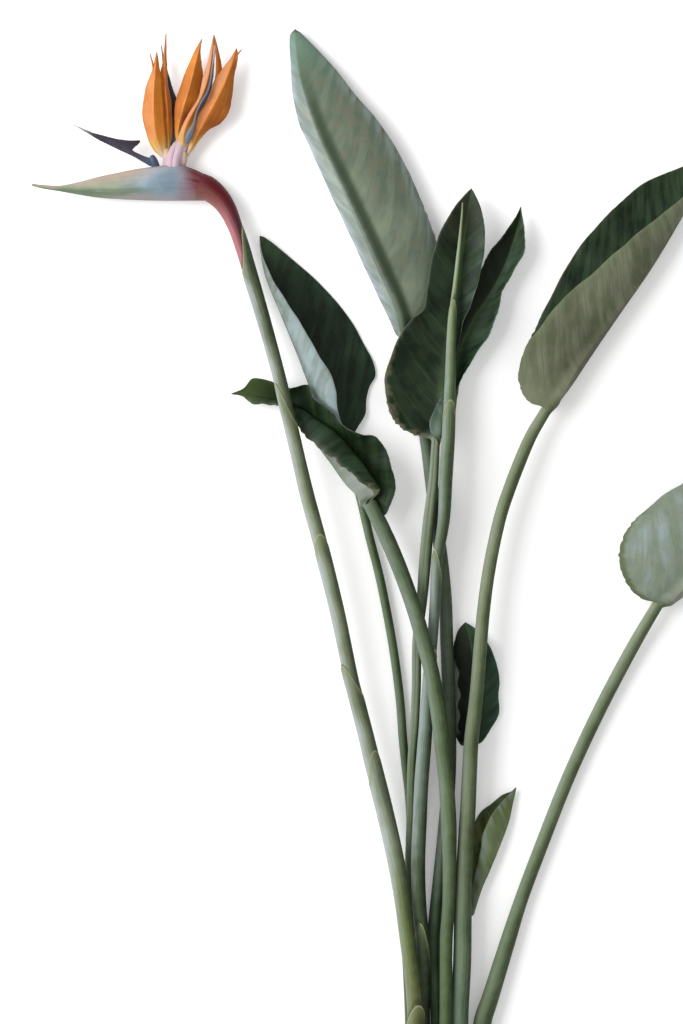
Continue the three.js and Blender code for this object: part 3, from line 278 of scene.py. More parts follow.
LEAVES["leaf_small_dark"] = leaf_rows(
    petiole=((455.5, 1085, 4.2, 4), (453.6, 1020, 4.2, 4), (457, 960, 4.2, 4), (459, 900, 4.2, 3.8),
        (462, 840, 4.4, 3.6), (465.5, 780, 5, 3.4), (467.5, 748, 6, 3.2)),
    rib=((470, 735, 6.6), (474, 705, 8), (474, 670, 9), (470, 640, 8.6), (465, 622, 7.6)),
    first=((462.5, 746, 5.2), (457, 738, 3.6), (455, 720, 2.2), (455.6, 695, 1.8), (454, 672, 1.6),
        (453.6, 648, 2), (458, 631, 5)),
    second=((473, 745.5, 6), (481, 742, 5.6), (490.6, 728, 5.4), (498.4, 714, 5.4), (498, 696, 5.6),
        (499, 680, 6), (494, 657, 7), (486, 641, 8), (474, 628, 8)),
    first_bulge=((0, 0, 0), (0, 0, -1.5), (0, 0, 0)),
    second_bulge=((0, 0, 0), (0, 0, 1), (0, 0, 0)),
    wave=(0.9, 5),
)
LEAVES["leaf_small_olive"] = leaf_rows(
    petiole=((463.7, 1085, 3.7, 3.5), (461.8, 1020, 3.7, 3.5), (465, 970, 4.4, 3.4),
        (468.4, 920, 6.4, 3.2)),
    rib=((477, 893, 7.6), (488, 868, 8), (498, 846, 8), (507.5, 822, 7), (512, 804, 6), (516, 787, 5)),
    first=((466, 905, 5), (467, 880, 3.4), (469, 850, 2), (472.8, 828, 1.4), (481.6, 811.6, 1.2),
        (490.6, 804.6, 1.4), (503, 794.8, 2.4), (512, 791, 4)),
    second=((470, 897, 8.6), (474, 877, 9.4), (478, 860, 12), (481, 848, 15), (482, 835, 17),
        (487, 823, 17), (493, 812, 15), (502, 801, 11), (511, 792, 7)),
    first_bulge=((0, 0, 0), (0, 0, -1), (0, 0, 0)),
    second_bulge=((0, 0, 1), (2, 2, 2), (0, 0, 0)),
    wave=(0.5, 4),
)
LEFT_SEPALS = (
    outline(
        rib=((165, 160, 16), (158, 142, 22), (155, 118, 26), (155, 92, 27), (156.5, 72, 25),
            (157.5, 53.5, 22)),
        first=((155, 152, 17), (147.6, 136, 18), (143.4, 115, 19), (146.2, 92, 20), (153, 72, 21),
            (155.8, 62, 22)),
        second=((166, 148, 18), (165, 125, 20), (163.5, 105, 21), (162, 85, 22), (160, 68, 22)),
    ),
    outline(
        rib=((170, 160, 13), (169, 142, 15), (168.5, 115, 17), (166.5, 90, 18), (165.5, 65, 17),
            (166.5, 35, 15)),
        first=((163, 150, 14), (159, 130, 15), (158.5, 105, 15), (160, 82, 16), (163.5, 62, 16)),
        second=((170, 150, 12), (172, 138, 11), (172.5, 122, 11), (171.5, 105, 12), (168.5, 86, 13),
            (167.2, 70, 14), (166.9, 50, 15)),
    ),
)
RIGHT_SEPALS = (
    outline(
        rib=((181, 161, 14.6), (179, 130, 17), (184, 110, 19), (190, 90, 20), (195, 70, 19), (200, 50, 17),
            (202.5, 40, 16)),
        first=((177, 142, 13.5), (175, 122, 13.5), (177, 100, 13), (184, 79, 13), (192, 59, 14),
            (199, 46, 15.5)),
        second=((181.5, 142, 14), (187, 125, 13), (195, 109, 13), (201, 94, 13), (203, 80, 13),
            (201.8, 65, 14), (200.8, 50, 15.5)),
    ),
    outline(
        rib=((183, 161, 15.6), (185, 133, 21), (192, 117, 23), (201, 101, 24), (207.5, 84, 24),
            (211.5, 64, 23), (214.5, 36, 20)),
        first=((179, 142, 18), (183, 128, 20), (189, 116, 21), (198, 102, 21), (203.7, 80, 22),
            (208.3, 64, 21), (212.6, 45, 20)),
        second=((187, 143, 18), (192, 129, 20), (197.5, 116, 21), (205, 103, 21), (211, 89, 21),
            (214, 70, 21), (215.3, 50, 20.5)),
    ),
    outline(
        rib=((184, 161, 12.4), (198, 125, 10), (210, 100, 11), (217.5, 80, 12), (218, 60, 13),
            (214.7, 37, 14)),
        first=((185, 142, 10), (193, 122, 9), (205, 100, 10), (215, 82, 11), (216.3, 66, 12),
            (215.7, 50, 13)),
        second=((190, 145, 10), (205, 125, 9), (217, 102, 10), (222.5, 80, 11), (221.5, 66, 12),
            (218, 49, 13)),
    ),
    outline(
        rib=((185, 161, 14), (197, 138, 19), (207, 120, 23), (216, 104, 25), (224, 88, 25), (231, 70, 23),
            (237, 50, 20)),
        first=((189, 147, 15), (195.5, 132, 17), (197.5, 119, 18), (204, 106, 19), (210.5, 93, 20),
            (216, 81, 20), (225, 68, 20), (232, 59, 20)),
        second=((194, 150, 15), (199.6, 141, 16), (208.4, 131.6, 17), (220.6, 124.6, 17), (228.8, 113, 18),
            (232.4, 98, 18), (234, 80, 19), (237, 66, 20), (238, 57, 20)),
    ),
)
SPATHE_LIP: Rows = ((204, 175.5, 15.5), (195, 171.5, 18), (184, 168, 21), (172, 167, 21.5),
    (158, 168.5, 20), (140, 170.4, 16), (120, 174.2, 14.9), (100, 178.4, 14.9), (80, 183.6, 14.8),
    (60, 187.6, 14.6), (45, 187, 14.4), (32, 185.5, 13.5))

SPATHE_BULGE: Rows = ((0, 2, 10.5), (0, 2, 8), (0, 1, 9), (0, 1, 7), (0, 0, 4), (0, 0, 1.6), (0, 0, 0.4))

SPATHE = {
    "rib": ((204, 200.4, 13.5), (190, 200.5, 13.5), (160, 200.5, 13.5), (130, 199.5, 13.5),
        (100, 197.5, 13.5), (80, 194.5, 13.5), (60, 191, 13.5), (45, 188.6, 13.5), (32, 185.5, 13.5)),
    "first": SPATHE_LIP,
    "second": mirrored(SPATHE_LIP, 13.5),
    "first_bulge": SPATHE_BULGE,
    "second_bulge": mirrored(SPATHE_BULGE, 0),
}
LEFT_TONGUE = outline(
    rib=((174, 154, 8.4), (175, 140, 7), (174, 120, 7), (175, 103, 7), (171, 88, 7), (167, 74, 7),
        (164, 62, 8), (161.5, 46, 9)),
    first=((171, 145, 8), (169, 125, 8), (169, 105, 8), (167, 88, 8), (164.5, 72, 8), (162.8, 60, 8.5)),
    second=((177, 145, 6), (176.4, 125, 6), (175.5, 114, 6), (176.5, 101, 6), (173, 90, 6), (168.5, 75, 7),
        (164.5, 60, 8)),
)
RIGHT_TONGUE = outline(
    rib=((187.5, 145, 21.7), (189.5, 137, 23.3), (194.5, 126, 24.3), (197.5, 115, 25.3), (203, 104, 26.3),
        (209, 94, 26.7), (212, 82, 26.5), (213.3, 70, 25.9), (214.6, 56, 23.9), (215, 47, 22.3)),
    first=((184, 141, 21.5), (186, 134, 22.3), (192.5, 125, 23.7), (196, 114, 24.7), (200.5, 103, 25.3),
        (206, 93, 25.7), (210.3, 80, 25.5), (212.3, 68, 24.9), (213.9, 56, 23.3)),
    second=((190.5, 144, 21.5), (194, 138, 22.3), (195.5, 130, 23.3), (198.8, 116, 24.6),
        (205.5, 105, 25.3), (211.3, 95, 25.9), (213.8, 82, 25.8), (214.6, 70, 25.3), (215.5, 56, 23.6)),
)
LOOSE_PETAL = outline(
    rib=((158, 165, 16.6), (150, 162.5, 17), (140, 157.5, 18), (130, 152, 19), (118, 146, 20),
        (105, 140, 20.5), (92, 135.2, 21), (83, 130.5, 21), (74, 126, 21)),
    first=((152, 167, 16.6), (145, 163.5, 17), (135, 157.8, 18), (120, 150.7, 19), (110, 146, 19.5),
        (100, 141, 20), (92, 136.5, 20.5), (83, 131.2, 21)),
    second=((154, 161, 17), (146, 158, 17.5), (136, 153.5, 18), (131, 150, 18.5), (137, 147, 19),
        (141, 142.5, 19.4), (130, 142, 19.5), (118, 140.5, 20), (105, 137.3, 20.3), (93, 134, 21),
        (83, 129.8, 21)),
)

# ---- curves and skins ----


def place(rows: Rows) -> Array:
    """Turns rows of across, down and up in mm, and maybe a radius, into points of the frame."""
    across, down, up = np.array([row[:3] for row in rows], float).T
    return np.column_stack((across - SHEET_ORIGIN[0], SHEET_ORIGIN[1] - down, up)) * MM


def unit(vectors: Array) -> Array:
    """Scales vectors to length one."""
    return vectors / np.maximum(np.linalg.norm(vectors, axis=-1, keepdims=True), 1e-12)


def ease(values: Array) -> Array:
    """Goes smoothly from 0 to 1 as the values do."""
    low = np.clip(values, 0, 1)
    return low * low * (3 - 2 * low)


def turns_of(sides: int, shift: int = 0) -> Array:
    """Gives the turns of a ring's points in radians, from the stem's left over its top."""
    return math.pi - (np.arange(sides) + shift) * math.tau / sides


def ripple(values: Array, seed: int, waves: int = 5) -> Array:
    """Gives an uneven wave that looks grown.

    Args:
        values: Where the wave is read, counted in wavelengths.
        seed: Which wave it is.
        waves: How many sines it holds.

    Returns:
        Values between about -1 and 1.
    """
    chance = np.random.default_rng(seed)
    rates = chance.uniform(0.6, 2.3, waves)
    phases = chance.uniform(0, math.tau, waves)
    parts = [np.sin(math.tau * values * rate + phase) for rate, phase in zip(rates, phases)]
    return sum(parts) / math.sqrt(waves)


class Curve:
    """A centripetal curve through rows of the sheet, measured along its length."""

    SPOTS = 801  # how many points the length is measured over
    NUDGE = 1e-4  # how far to both sides of a spot its direction is read
    SHORTEST = 1e-5  # least gap between two rows, so that none divides by zero

    def __init__(self, rows: Rows) -> None:
        """Measures the curve.

        Args:
            rows: The rows that it passes through.
        """
        points = place(rows)
        self.last = len(points) - 1
        self.padded = np.vstack((2 * points[0] - points[1], points, 2 * points[-1] - points[-2]))
        self.spots = np.linspace(0, 1, self.SPOTS)
        steps = np.linalg.norm(np.diff(self.point(self.spots), axis=0), axis=1)
        lengths = np.concatenate(([0.0], np.cumsum(steps)))
        self.length = float(lengths[-1])
        self.shares = lengths / self.length

    def point(self, spots: Array) -> Array:
        """Finds points of the curve.

        Args:
            spots: Places from 0 to 1 that count the rows evenly.

        Returns:
            One point a spot.
        """
        where = np.clip(spots, 0, 1) * self.last
        low = np.minimum(where.astype(int), self.last - 1)
        weight = (where - low)[:, None]
        a, b, c, d = (self.padded[low + step] for step in range(4))
        gaps = [np.linalg.norm(q - p, axis=1, keepdims=True) for p, q in ((a, b), (b, c), (c, d))]
        first, middle, final = (np.maximum(np.sqrt(gap), self.SHORTEST) for gap in gaps)
        out = ((b - a) / first - (c - a) / (first + middle) + (c - b) / middle) * middle
        back = ((c - b) / middle - (d - b) / (middle + final) + (d - c) / final) * middle
        square = 3 * (c - b) - 2 * out - back
        cube = 2 * (b - c) + out + back
        return b + out * weight + square * weight**2 + cube * weight**3

    def spot(self, shares: Array) -> Array:
        """Turns shares of the length into spots."""
        return np.interp(shares, self.shares, self.spots)

    def at(self, shares: Array) -> Array:
        """Finds the points at shares of the length."""
        return self.point(self.spot(shares))

    def tangent(self, spots: Array) -> Array:
        """Finds the directions of the curve at spots."""
        return unit(self.point(spots + self.NUDGE) - self.point(spots - self.NUDGE))


@dataclass(frozen=True)
class Stations:
    """Places along a stem: the middle, the radius and three directions at each."""

    middle: Array
    radius: Array
    tangent: Array
    right: Array
    top: Array

    def rings(self, turns: Array, reach: Array, push: Array | float = 0.0) -> Array:
        """Lays a ring of points round each place.

        Args:
            turns: The turn of each point of a ring from the stem's right over its top, in radians.
            reach: The distance from the middle, one a ring or one a point.
            push: How far each point is moved along the stem.

        Returns:
            The rings as an array of rows, points and axes.
        """
        reach = reach if reach.ndim == 2 else reach[:, None]
        reach = np.broadcast_to(reach, (len(self.middle), len(turns)))[..., None]
        push = np.broadcast_to(push, reach.shape[:2])[..., None]
        level = self.spokes(turns)
        return self.middle[:, None] + level * reach + self.tangent[:, None] * push

    def spokes(self, turns: Array) -> Array:
        """Gives the direction of each turn at each place."""
        over, up = np.cos(turns)[None, :, None], np.sin(turns)[None, :, None]
        return self.right[:, None] * over + self.top[:, None] * up


class Stem:
    """A round stem through rows of the sheet that give its radius too."""

    EVEN_ROWS = 1.0  # length in rows over which the radius is evened out

    def __init__(self, rows: Rows) -> None:
        """Measures the stem.

        Args:
            rows: Across, down, up and radius in mm.
        """
        self.curve = Curve(rows)
        self.mm = self.curve.length / MM
        last = len(rows) - 1
        rough = np.interp(self.curve.spots * last, range(len(rows)), [row[3] for row in rows])
        reach = max(1, int(len(self.curve.spots) * self.EVEN_ROWS / last / 2))
        window = np.hanning(2 * reach + 3)
        padded = np.pad(rough, reach + 1, mode="edge")
        self.radii = np.convolve(padded, window / window.sum(), mode="valid") * MM

    def stations(self, shares: Array) -> Stations:
        """Finds stations at shares of the length.

        Args:
            shares: Places from 0 at the base to 1 at the end.

        Returns:
            The stations, with right level and top as far up as it can be.
        """
        spots = self.curve.spot(shares)
        tangent = self.curve.tangent(spots)
        right = unit(np.cross(tangent, UP))
        radius = np.interp(spots, self.curve.spots, self.radii)
        return Stations(self.curve.point(spots), radius, tangent, right, np.cross(right, tangent))


def link(name: str, data: bpy.types.ID) -> Piece:
    """Makes an object and puts it into the scene.

    Args:
        name: The object's name.
        data: Its mesh, light or camera.

    Returns:
        The object, at the origin.
    """
    made = bpy.data.objects.new(name, data)
    bpy.context.scene.collection.objects.link(made)
    return made


class Skin:
    """Collects closed lofts and what the finishes read from them, and makes them one piece."""

    SHARP = math.radians(50.0)  # the angle from which an edge is sharp

    def __init__(self, name: str) -> None:
        """Starts an empty skin.

        Args:
            name: The piece's name.
        """
        self.name = name
        self.spots: list[Array] = []
        self.faces: list[tuple[int, ...]] = []
        self.finishes: list[int] = []
        self.marks: dict[str, list[Array]] = {}
        self.count = 0

    def loft(self, rings: Array, marks: Marks, first: int = 0) -> None:
        """Adds one closed solid made of rings.

        Args:
            rings: Rows of points.
            marks: Values for each point, by name.
            first: The index of the material of its first end.
        """
        rows, size = rings.shape[:2]
        spots = np.vstack((rings.reshape(-1, 3), rings[[0, -1]].mean(axis=1)))
        grid = np.arange(rows * size).reshape(rows, size) + self.count
        turned = np.roll(grid, -1, axis=1)
        quads = np.stack((grid[:-1], turned[:-1], turned[1:], grid[1:]), axis=-1).reshape(-1, 4)
        hub = self.count + rows * size
        faces = [tuple(quad) for quad in quads.tolist()]
        faces += [(hub, b, a) for a, b in zip(grid[0], turned[0])]
        faces += [(hub + 1, a, b) for a, b in zip(grid[-1], turned[-1])]
        self.finishes += [0] * len(quads) + [first] * size + [0] * size
        self.faces += faces if self.volume(spots, faces) > 0 else [face[::-1] for face in faces]
        self.spots.append(spots)
        for name in sorted(set(self.marks) | set(marks)):
            value = np.broadcast_to(marks.get(name, 0.0), (rows, size))
            before = self.marks.setdefault(name, [np.zeros(self.count)])
            before.append(np.concatenate((value.ravel(), value[[0, -1]].mean(axis=1))))
        self.count += len(spots)

    def volume(self, spots: Array, faces: list[tuple[int, ...]]) -> float:
        """Measures six times the volume inside faces; it is below zero where they point in.

        Args:
            spots: The points of the solid.
            faces: Its faces, counted from the skin's first point.

        Returns:
            The volume.
        """
        near = spots - spots.mean(axis=0)
        fans = [(face[0], *face[step : step + 2]) for face in faces for step in range(1, len(face) - 1)]
        corners = near[np.array(fans) - self.count]
        return float((corners[:, 0] * np.cross(corners[:, 1], corners[:, 2])).sum())

    def build(self, *materials: Material) -> Piece:
        """Makes the piece.

        Args:
            materials: Its materials, in the order of their indices.

        Returns:
            The new object, at the origin.
        """
        mesh = bpy.data.meshes.new(self.name)
        spots = np.clip(np.vstack(self.spots), *CAD_BOX)
        mesh.from_pydata(spots.tolist(), [], self.faces)
        for material in materials:
            mesh.materials.append(material)
        mesh.polygons.foreach_set("material_index", self.finishes)
        mesh.polygons.foreach_set("use_smooth", [True] * len(mesh.polygons))
        for name, parts in self.marks.items():
            mesh.attributes.new(name, "FLOAT", "POINT").data.foreach_set("value", np.concatenate(parts))
        mesh.set_sharp_from_angle(angle=self.SHARP)
        mesh.update()
        return link(self.name, mesh)


def settle(piece: Piece, slot: str, *nodes: str) -> None:
    """Hands a piece to the frame.

    Args:
        piece: The piece, in place.
        slot: The record's material slot that its finish stands for.
        nodes: The solids that it is shown for.
    """
    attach(piece, "root")
    if nodes:
        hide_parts(*nodes)
    log.info("%s: %d faces for %s", piece.name, len(piece.data.polygons), ", ".join(nodes) or slot)


# ---- wiring of materials and trees ----


class Sum(Enum):
    """The sums of a math node, by Blender's own names."""

    ADD, SUBTRACT, MULTIPLY, DIVIDE, SINE, ABSOLUTE, LESS_THAN = range(7)


class Blend(Enum):
    """The ways in which two colours are mixed, by Blender's own names."""

    MIX, MULTIPLY = range(2)


def sums(kind: Sum, flipped: bool = False) -> Callable[..., "Value"]:
    """Makes the method of a value that adds one kind of sum.

    Args:
        kind: The kind of sum.
        flipped: Whether the value comes second.

    Returns:
        The method.
    """

    def method(value: "Value", other: object = 0.0) -> "Value":
        """Adds the sum to the value's tree."""
        return value.wiring.math(kind, *((other, value) if flipped else (value, other)))

    return method


class Value:
    """An output that can be reckoned with: each sum adds a node to its tree."""

    __add__ = __radd__ = sums(Sum.ADD)
    __sub__, __rsub__ = sums(Sum.SUBTRACT), sums(Sum.SUBTRACT, flipped=True)
    __mul__, __truediv__, __abs__ = sums(Sum.MULTIPLY), sums(Sum.DIVIDE), sums(Sum.ABSOLUTE)

    def __init__(self, wiring: "Wiring", socket: Socket) -> None:
        """Keeps the socket and the wiring that works on its tree."""
        self.wiring, self.socket = wiring, socket


class Wiring:
    """Adds nodes to a tree and joins their sockets."""

    def __init__(self, tree: Tree) -> None:
        """Takes the tree to work on."""
        self.tree = tree

    def node(self, kind: str, feeds: Fields, **settings: object) -> bpy.types.Node:
        """Adds a node.

        Args:
            kind: The node's type.
            feeds: What goes into its sockets, by socket name or identifier.
            settings: Its own settings.

        Returns:
            The node.
        """
        node = self.tree.nodes.new(kind)
        for name, value in settings.items():
            setattr(node, name, value)
        for name, value in feeds.items():
            self.feed(self.pick(node.inputs, name), value)
        return node

    def value(self, kind: str, feeds: Fields, out: str = "", **settings: object) -> Value:
        """Adds a node and gives one of its outputs, which is the first if none is named."""
        outputs = self.node(kind, feeds, **settings).outputs
        return Value(self, self.pick(outputs, out) if out else outputs[0])

    def pick(self, sockets: bpy.types.bpy_prop_collection, name: str) -> Socket:
        """Finds a socket by its identifier, or else by its name."""
        return next((socket for socket in sockets if socket.identifier == name), None) or sockets[name]

    def feed(self, socket: Socket, value: object) -> None:
        """Joins an input to an output, or sets its value.

        Args:
            socket: The input.
            value: The output, number, vector, colour or material.
        """
        value = value.socket if isinstance(value, Value) else value
        if isinstance(value, Socket):
            self.tree.links.new(value, socket)
        elif socket.type == "RGBA":
            socket.default_value = (*value, 1.0)
        else:
            socket.default_value = value

    def math(self, kind: Sum, first: object, second: object = 0.0, clamp: bool = False) -> Value:
        """Adds a sum of two values and gives its result, kept between 0 and 1 if clamp is true."""
        feeds = {"Value": first, "Value_001": second}
        return self.value("ShaderNodeMath", feeds, operation=kind.name, use_clamp=clamp)

    def span(self, value: object, low: float, high: float, start: float = 0.0, stop: float = 1.0) -> Value:
        """Adds a smooth step.

        Args:
            value: The value that it follows.
            low: Where the step starts.
            high: Where it stops.
            start: The result at its start.
            stop: The result at its stop.

        Returns:
            The result.
        """
        feeds = {"Value": value, "From Min": low, "From Max": high, "To Min": start, "To Max": stop}
        return self.value("ShaderNodeMapRange", feeds, "Result", interpolation_type="SMOOTHSTEP")

    def mix(self, share: object, first: object, second: object, blend: Blend = Blend.MIX) -> Value:
        """Adds a mix of two colours.

        Args:
            share: How much of the second there is.
            first: The first colour.
            second: The second colour.
            blend: How they are mixed.

        Returns:
            The colour.
        """
        feeds = {"Factor_Float": share, "A_Color": first, "B_Color": second}
        settings = {"data_type": "RGBA", "blend_type": blend.name, "clamp_factor": True}
        return self.value("ShaderNodeMix", feeds, "Result_Color", **settings)

    def layers(self, colour: object, *coats: tuple[object, object]) -> Value:
        """Lays coats over a colour, each with how much of it shows, and gives the colour on top."""
        for share, coat in coats:
            colour = self.mix(share, colour, coat)
        return colour

    def course(self, value: Value, stops: Stops) -> Value:
        """Adds a row of colours that blend into each other along a value, and gives the colour."""
        pairs = zip(stops, stops[1:])
        return self.layers(stops[0][1], *((self.span(value, a[0], b[0]), b[1]) for a, b in pairs))

    def blend(self, share: object, first: object, second: object) -> Value:
        """Adds a mix of two values with so much of the second, and gives the result."""
        feeds = {"Factor_Float": share, "A_Float": first, "B_Float": second}
        return self.value("ShaderNodeMix", feeds, "Result_Float", data_type="FLOAT", clamp_factor=True)

    def join(self, x: object, y: object, z: object) -> Value:
        """Joins three values to a vector."""
        return self.value("ShaderNodeCombineXYZ", {"X": x, "Y": y, "Z": z})

    def noise(self, where: object, scale: object, detail: float = 3.0, rough: float = 0.5) -> Value:
        """Adds noise of about 0 to 1 with so many patches to a metre, and gives its value."""
        feeds = {"Vector": where, "Scale": scale, "Detail": detail, "Roughness": rough}
        return self.value("ShaderNodeTexNoise", feeds)


class Kind(Enum):
    """The kinds of group, by the type of the tree and of what it gives."""

    SHADER = ("ShaderNodeTree", "Float")
    GEOMETRY = ("GeometryNodeTree", "Geometry")


class Group(Wiring):
    """A tree with named inputs and outputs."""

    def __init__(
        self, name: str, takes: dict[str, float | str], gives: tuple[str, ...], kind: Kind = Kind.SHADER
    ) -> None:
        """Makes an empty group.

        Args:
            name: Its name.
            takes: The usual value of each input by name, or the input's type if it isn't a number.
            gives: The names of its outputs.
            kind: Its kind.
        """
        super().__init__(bpy.data.node_groups.new(name, kind.value[0]))
        for label, usual in takes.items():
            if isinstance(usual, str):
                self.socket(label, "INPUT", usual)
            else:
                self.socket(label, "INPUT", "Float").default_value = usual
        for label in gives:
            self.socket(label, "OUTPUT", kind.value[1])
        inlets = self.tree.nodes.new("NodeGroupInput").outputs
        self.inlet = {label: Value(self, inlets[label]) for label in takes}
        self.outlet = self.tree.nodes.new("NodeGroupOutput").inputs

    def socket(self, label: str, way: str, kind: str) -> bpy.types.NodeTreeInterfaceSocket:
        """Adds an input or an output."""
        return self.tree.interface.new_socket(name=label, in_out=way, socket_type=f"NodeSocket{kind}")

    def give(self, **values: Value) -> Tree:
        """Joins values to the outputs by name, and gives the finished group."""
        for label, value in values.items():
            self.feed(self.outlet[label], value)
        return self.tree


@cache
def side_veins() -> Tree:
    """Builds the side veins of a blade.

    Returns:
        A group that gives fine lines, main veins, broad bands between them and a height.
    """
    takes = {"Run": 0.0, "Off": 0.0, "Spacing": 3.0}
    group = Group("side_veins", takes, ("Line", "Main", "Band", "Height"))
    phase = group.inlet["Run"] / group.inlet["Spacing"]
    off = group.inlet["Off"] * 0.03
    phase = phase + group.noise(group.join(phase * 0.2, off, 3.0), 1.0, 2.0) * 1.6
    fine = group.noise(group.join(phase * 1.5, off, 0.0), 1.0, 2.5, 0.6)
    wide = group.noise(group.join(phase * 0.3, off, 7.0), 1.0, 2.0, 0.55)
    wave = group.math(Sum.SINE, phase * (0.5 * math.pi))
    return group.give(
        Line=group.span(fine, 0.5, 0.72),
        Main=group.span(wave, 0.9, 0.99) * group.span(wide, 0.3, 0.6),
        Band=group.span(wide, 0.36, 0.64),
        Height=fine + wide * 0.6,
    )


@cache
def long_fibres() -> Tree:
    """Builds the fibres that run along a stem or a petal.

    Returns:
        A group that gives streaks and a height.
    """
    takes = {"Side": 0.0, "Top": 0.0, "Run": 0.0, "Fineness": 9.0}
    group = Group("long_fibres", takes, ("Streak", "Height"))
    side, top = (group.inlet[label] * group.inlet["Fineness"] for label in ("Side", "Top"))
    where = group.join(side, top, group.inlet["Run"] * 0.6)
    streak = group.span(group.noise(where, 1.0, 3.0, 0.6), 0.32, 0.68)
    return group.give(Streak=streak, Height=group.noise(where, 3.1, 2.0, 0.6))


@cache
def waxy_bloom() -> Tree:
    """Builds the uneven bloom that lies on a leaf or a stalk.

    Returns:
        A group that gives how much bloom there is, and its fine grain.
    """
    takes = {"Place": "Vector", "Scale": 14.0, "Contrast": 0.5}
    group = Group("waxy_bloom", takes, ("Amount", "Grain"))
    place_of = group.inlet["Place"]
    cloud = group.noise(place_of, group.inlet["Scale"])
    spread = (cloud - 0.5) * (group.inlet["Contrast"] * 5.0)
    amount = group.math(Sum.ADD, spread, 0.5, clamp=True)
    return group.give(Amount=amount, Grain=group.noise(place_of, 1400.0, 3.0, 0.65))


@cache
def small_specks() -> Tree:
    """Builds small dry specks.

    Returns:
        A group that gives a mask of the specks.
    """
    group = Group("small_specks", {"Place": "Vector", "Scale": 260.0, "Size": 0.16}, ("Mask",))
    feeds = {"Vector": group.inlet["Place"], "Scale": group.inlet["Scale"], "Randomness": 1.0}
    near = group.value("ShaderNodeTexVoronoi", feeds, "Distance")
    patches = group.span(group.noise(group.inlet["Place"], 30.0, 2.0), 0.48, 0.62)
    return group.give(Mask=group.math(Sum.LESS_THAN, near, group.inlet["Size"]) * patches)


class Paint(Wiring):
    """One material: its shader and what is read from the piece."""

    def __init__(self, name: str) -> None:
        """Makes the material.

        Args:
            name: The finish's name.
        """
        self.material = bpy.data.materials.new(name)
        self.material.use_nodes = True
        super().__init__(self.material.node_tree)
        self.tree.nodes.clear()
        self.shader = self.tree.nodes.new("ShaderNodeBsdfPrincipled")
        end = self.tree.nodes.new("ShaderNodeOutputMaterial")
        self.tree.links.new(self.shader.outputs[0], end.inputs["Surface"])
        self.place = self.value("ShaderNodeTexCoord", {}, "Object")

    def mark(self, name: str) -> Value:
        """Reads a value that the piece carries."""
        settings = {"attribute_name": name, "attribute_type": "GEOMETRY"}
        return self.value("ShaderNodeAttribute", {}, "Fac", **settings)

    def axis(self, name: str) -> Value:
        """Reads one coordinate of the place."""
        return self.value("ShaderNodeSeparateXYZ", {"Vector": self.place}, name)

    def group(self, tree: Tree, **feeds: object) -> dict[str, Value]:
        """Places a shared effect.

        Args:
            tree: The effect.
            feeds: What goes into it.

        Returns:
            Its outputs by name.
        """
        node = self.tree.nodes.new("ShaderNodeGroup")
        node.node_tree = tree
        for name, value in feeds.items():
            self.feed(node.inputs[name], value)
        return {out.name: Value(self, out) for out in node.outputs}

    def bloom(self, scale: float, contrast: float) -> dict[str, Value]:
        """Places the waxy bloom, with so many patches to a metre."""
        return self.group(waxy_bloom(), Place=self.place, Scale=scale, Contrast=contrast)

    def fibres(self, side: object, top: object, fineness: float) -> dict[str, Value]:
        """Places the long fibres, which follow the piece's own length."""
        feeds = {"Side": side, "Top": top, "Run": self.mark("run"), "Fineness": fineness}
        return self.group(long_fibres(), **feeds)

    def specks(self, scale: float, size: float) -> Value:
        """Places the small specks and gives their mask."""
        return self.group(small_specks(), Place=self.place, Scale=scale, Size=size)["Mask"]

    def finish(
        self, colour: object, rough: object, height: Value, depth: float, **constants: float
    ) -> Material:
        """Joins the colour, the gloss and the relief to the shader.

        Args:
            colour: The base colour.
            rough: The roughness.
            height: The relief, about 0 to 1.
            depth: How deep it is, in mm.
            constants: Values that are the same all over, by socket name with underscores.

        Returns:
            The material.
        """
        bump = self.value("ShaderNodeBump", {"Height": height, "Strength": 1.0, "Distance": depth * MM})
        for name, value in (("Base Color", colour), ("Roughness", rough), ("Normal", bump)):
            self.feed(self.shader.inputs[name], value)
        for name, value in constants.items():
            self.shader.inputs[name.replace("_", " ")].default_value = value
        return self.material


# ---- finishes ----


GREEN_STEM: Stops = (
    (-0.5, (0.055, 0.075, 0.03)), (-0.32, (0.10, 0.135, 0.075)), (0.1, (0.14, 0.175, 0.11)),
)
SHADE: Colour = (0.36, 0.42, 0.26)  # painted shade: what a stem's colour is multiplied by at its right, away from the key lamp
LIGHT: Colour = (1.15, 1.15, 1.1)  # painted light: and at its left, towards the key lamp
# a painted highlight laid on a stem's left, in the pale colour of bloom
LEFT_HIGHLIGHT: Colour = (0.35, 0.38, 0.40)
WAX: Colour = (0.26, 0.31, 0.27)
SPECK: Colour = (0.07, 0.055, 0.03)


def waxy_stem(w: Paint, stops: Stops, left_highlight: float = 0.22) -> tuple[Value, Value]:
    """Colours a stem: its own green along it, painted shade to the right and a painted highlight at the
    left.

    Args:
        w: The material.
        stops: The stem's colours and how far up the fan each belongs.
        left_highlight: How strong the painted highlight at its left is.

    Returns:
        Its colour and its relief.
    """
    side, up = w.mark("side"), w.axis("Y")
    fibre = w.fibres(side, w.mark("top"), 6.0)
    fine = w.bloom(130.0, 0.8)
    patchy = (w.bloom(24.0, 0.7)["Amount"] - 0.5) * 0.45
    left = side * -1.0 + (patchy + (fibre["Streak"] - 0.5) * 0.4)
    # painted shade on the right and painted light on the left, where the key lamp stands; below, a painted
    # highlight at the left
    tone = w.mix(w.span(left, -0.95, 0.45), SHADE, LIGHT)
    colour = w.layers(
        w.mix(1.0, w.course(up, stops), tone, Blend.MULTIPLY),
        (w.span(left, 0.05, 1.1, 0.0, left_highlight) * w.span(up, -0.40, -0.28, 0.3, 1.0), LEFT_HIGHLIGHT),
        (fine["Amount"] * 0.06, WAX),
        (w.specks(420.0, 0.17) * 0.45, SPECK),
    )
    return colour, fibre["Height"] * 0.9 + fine["Grain"] * 0.3


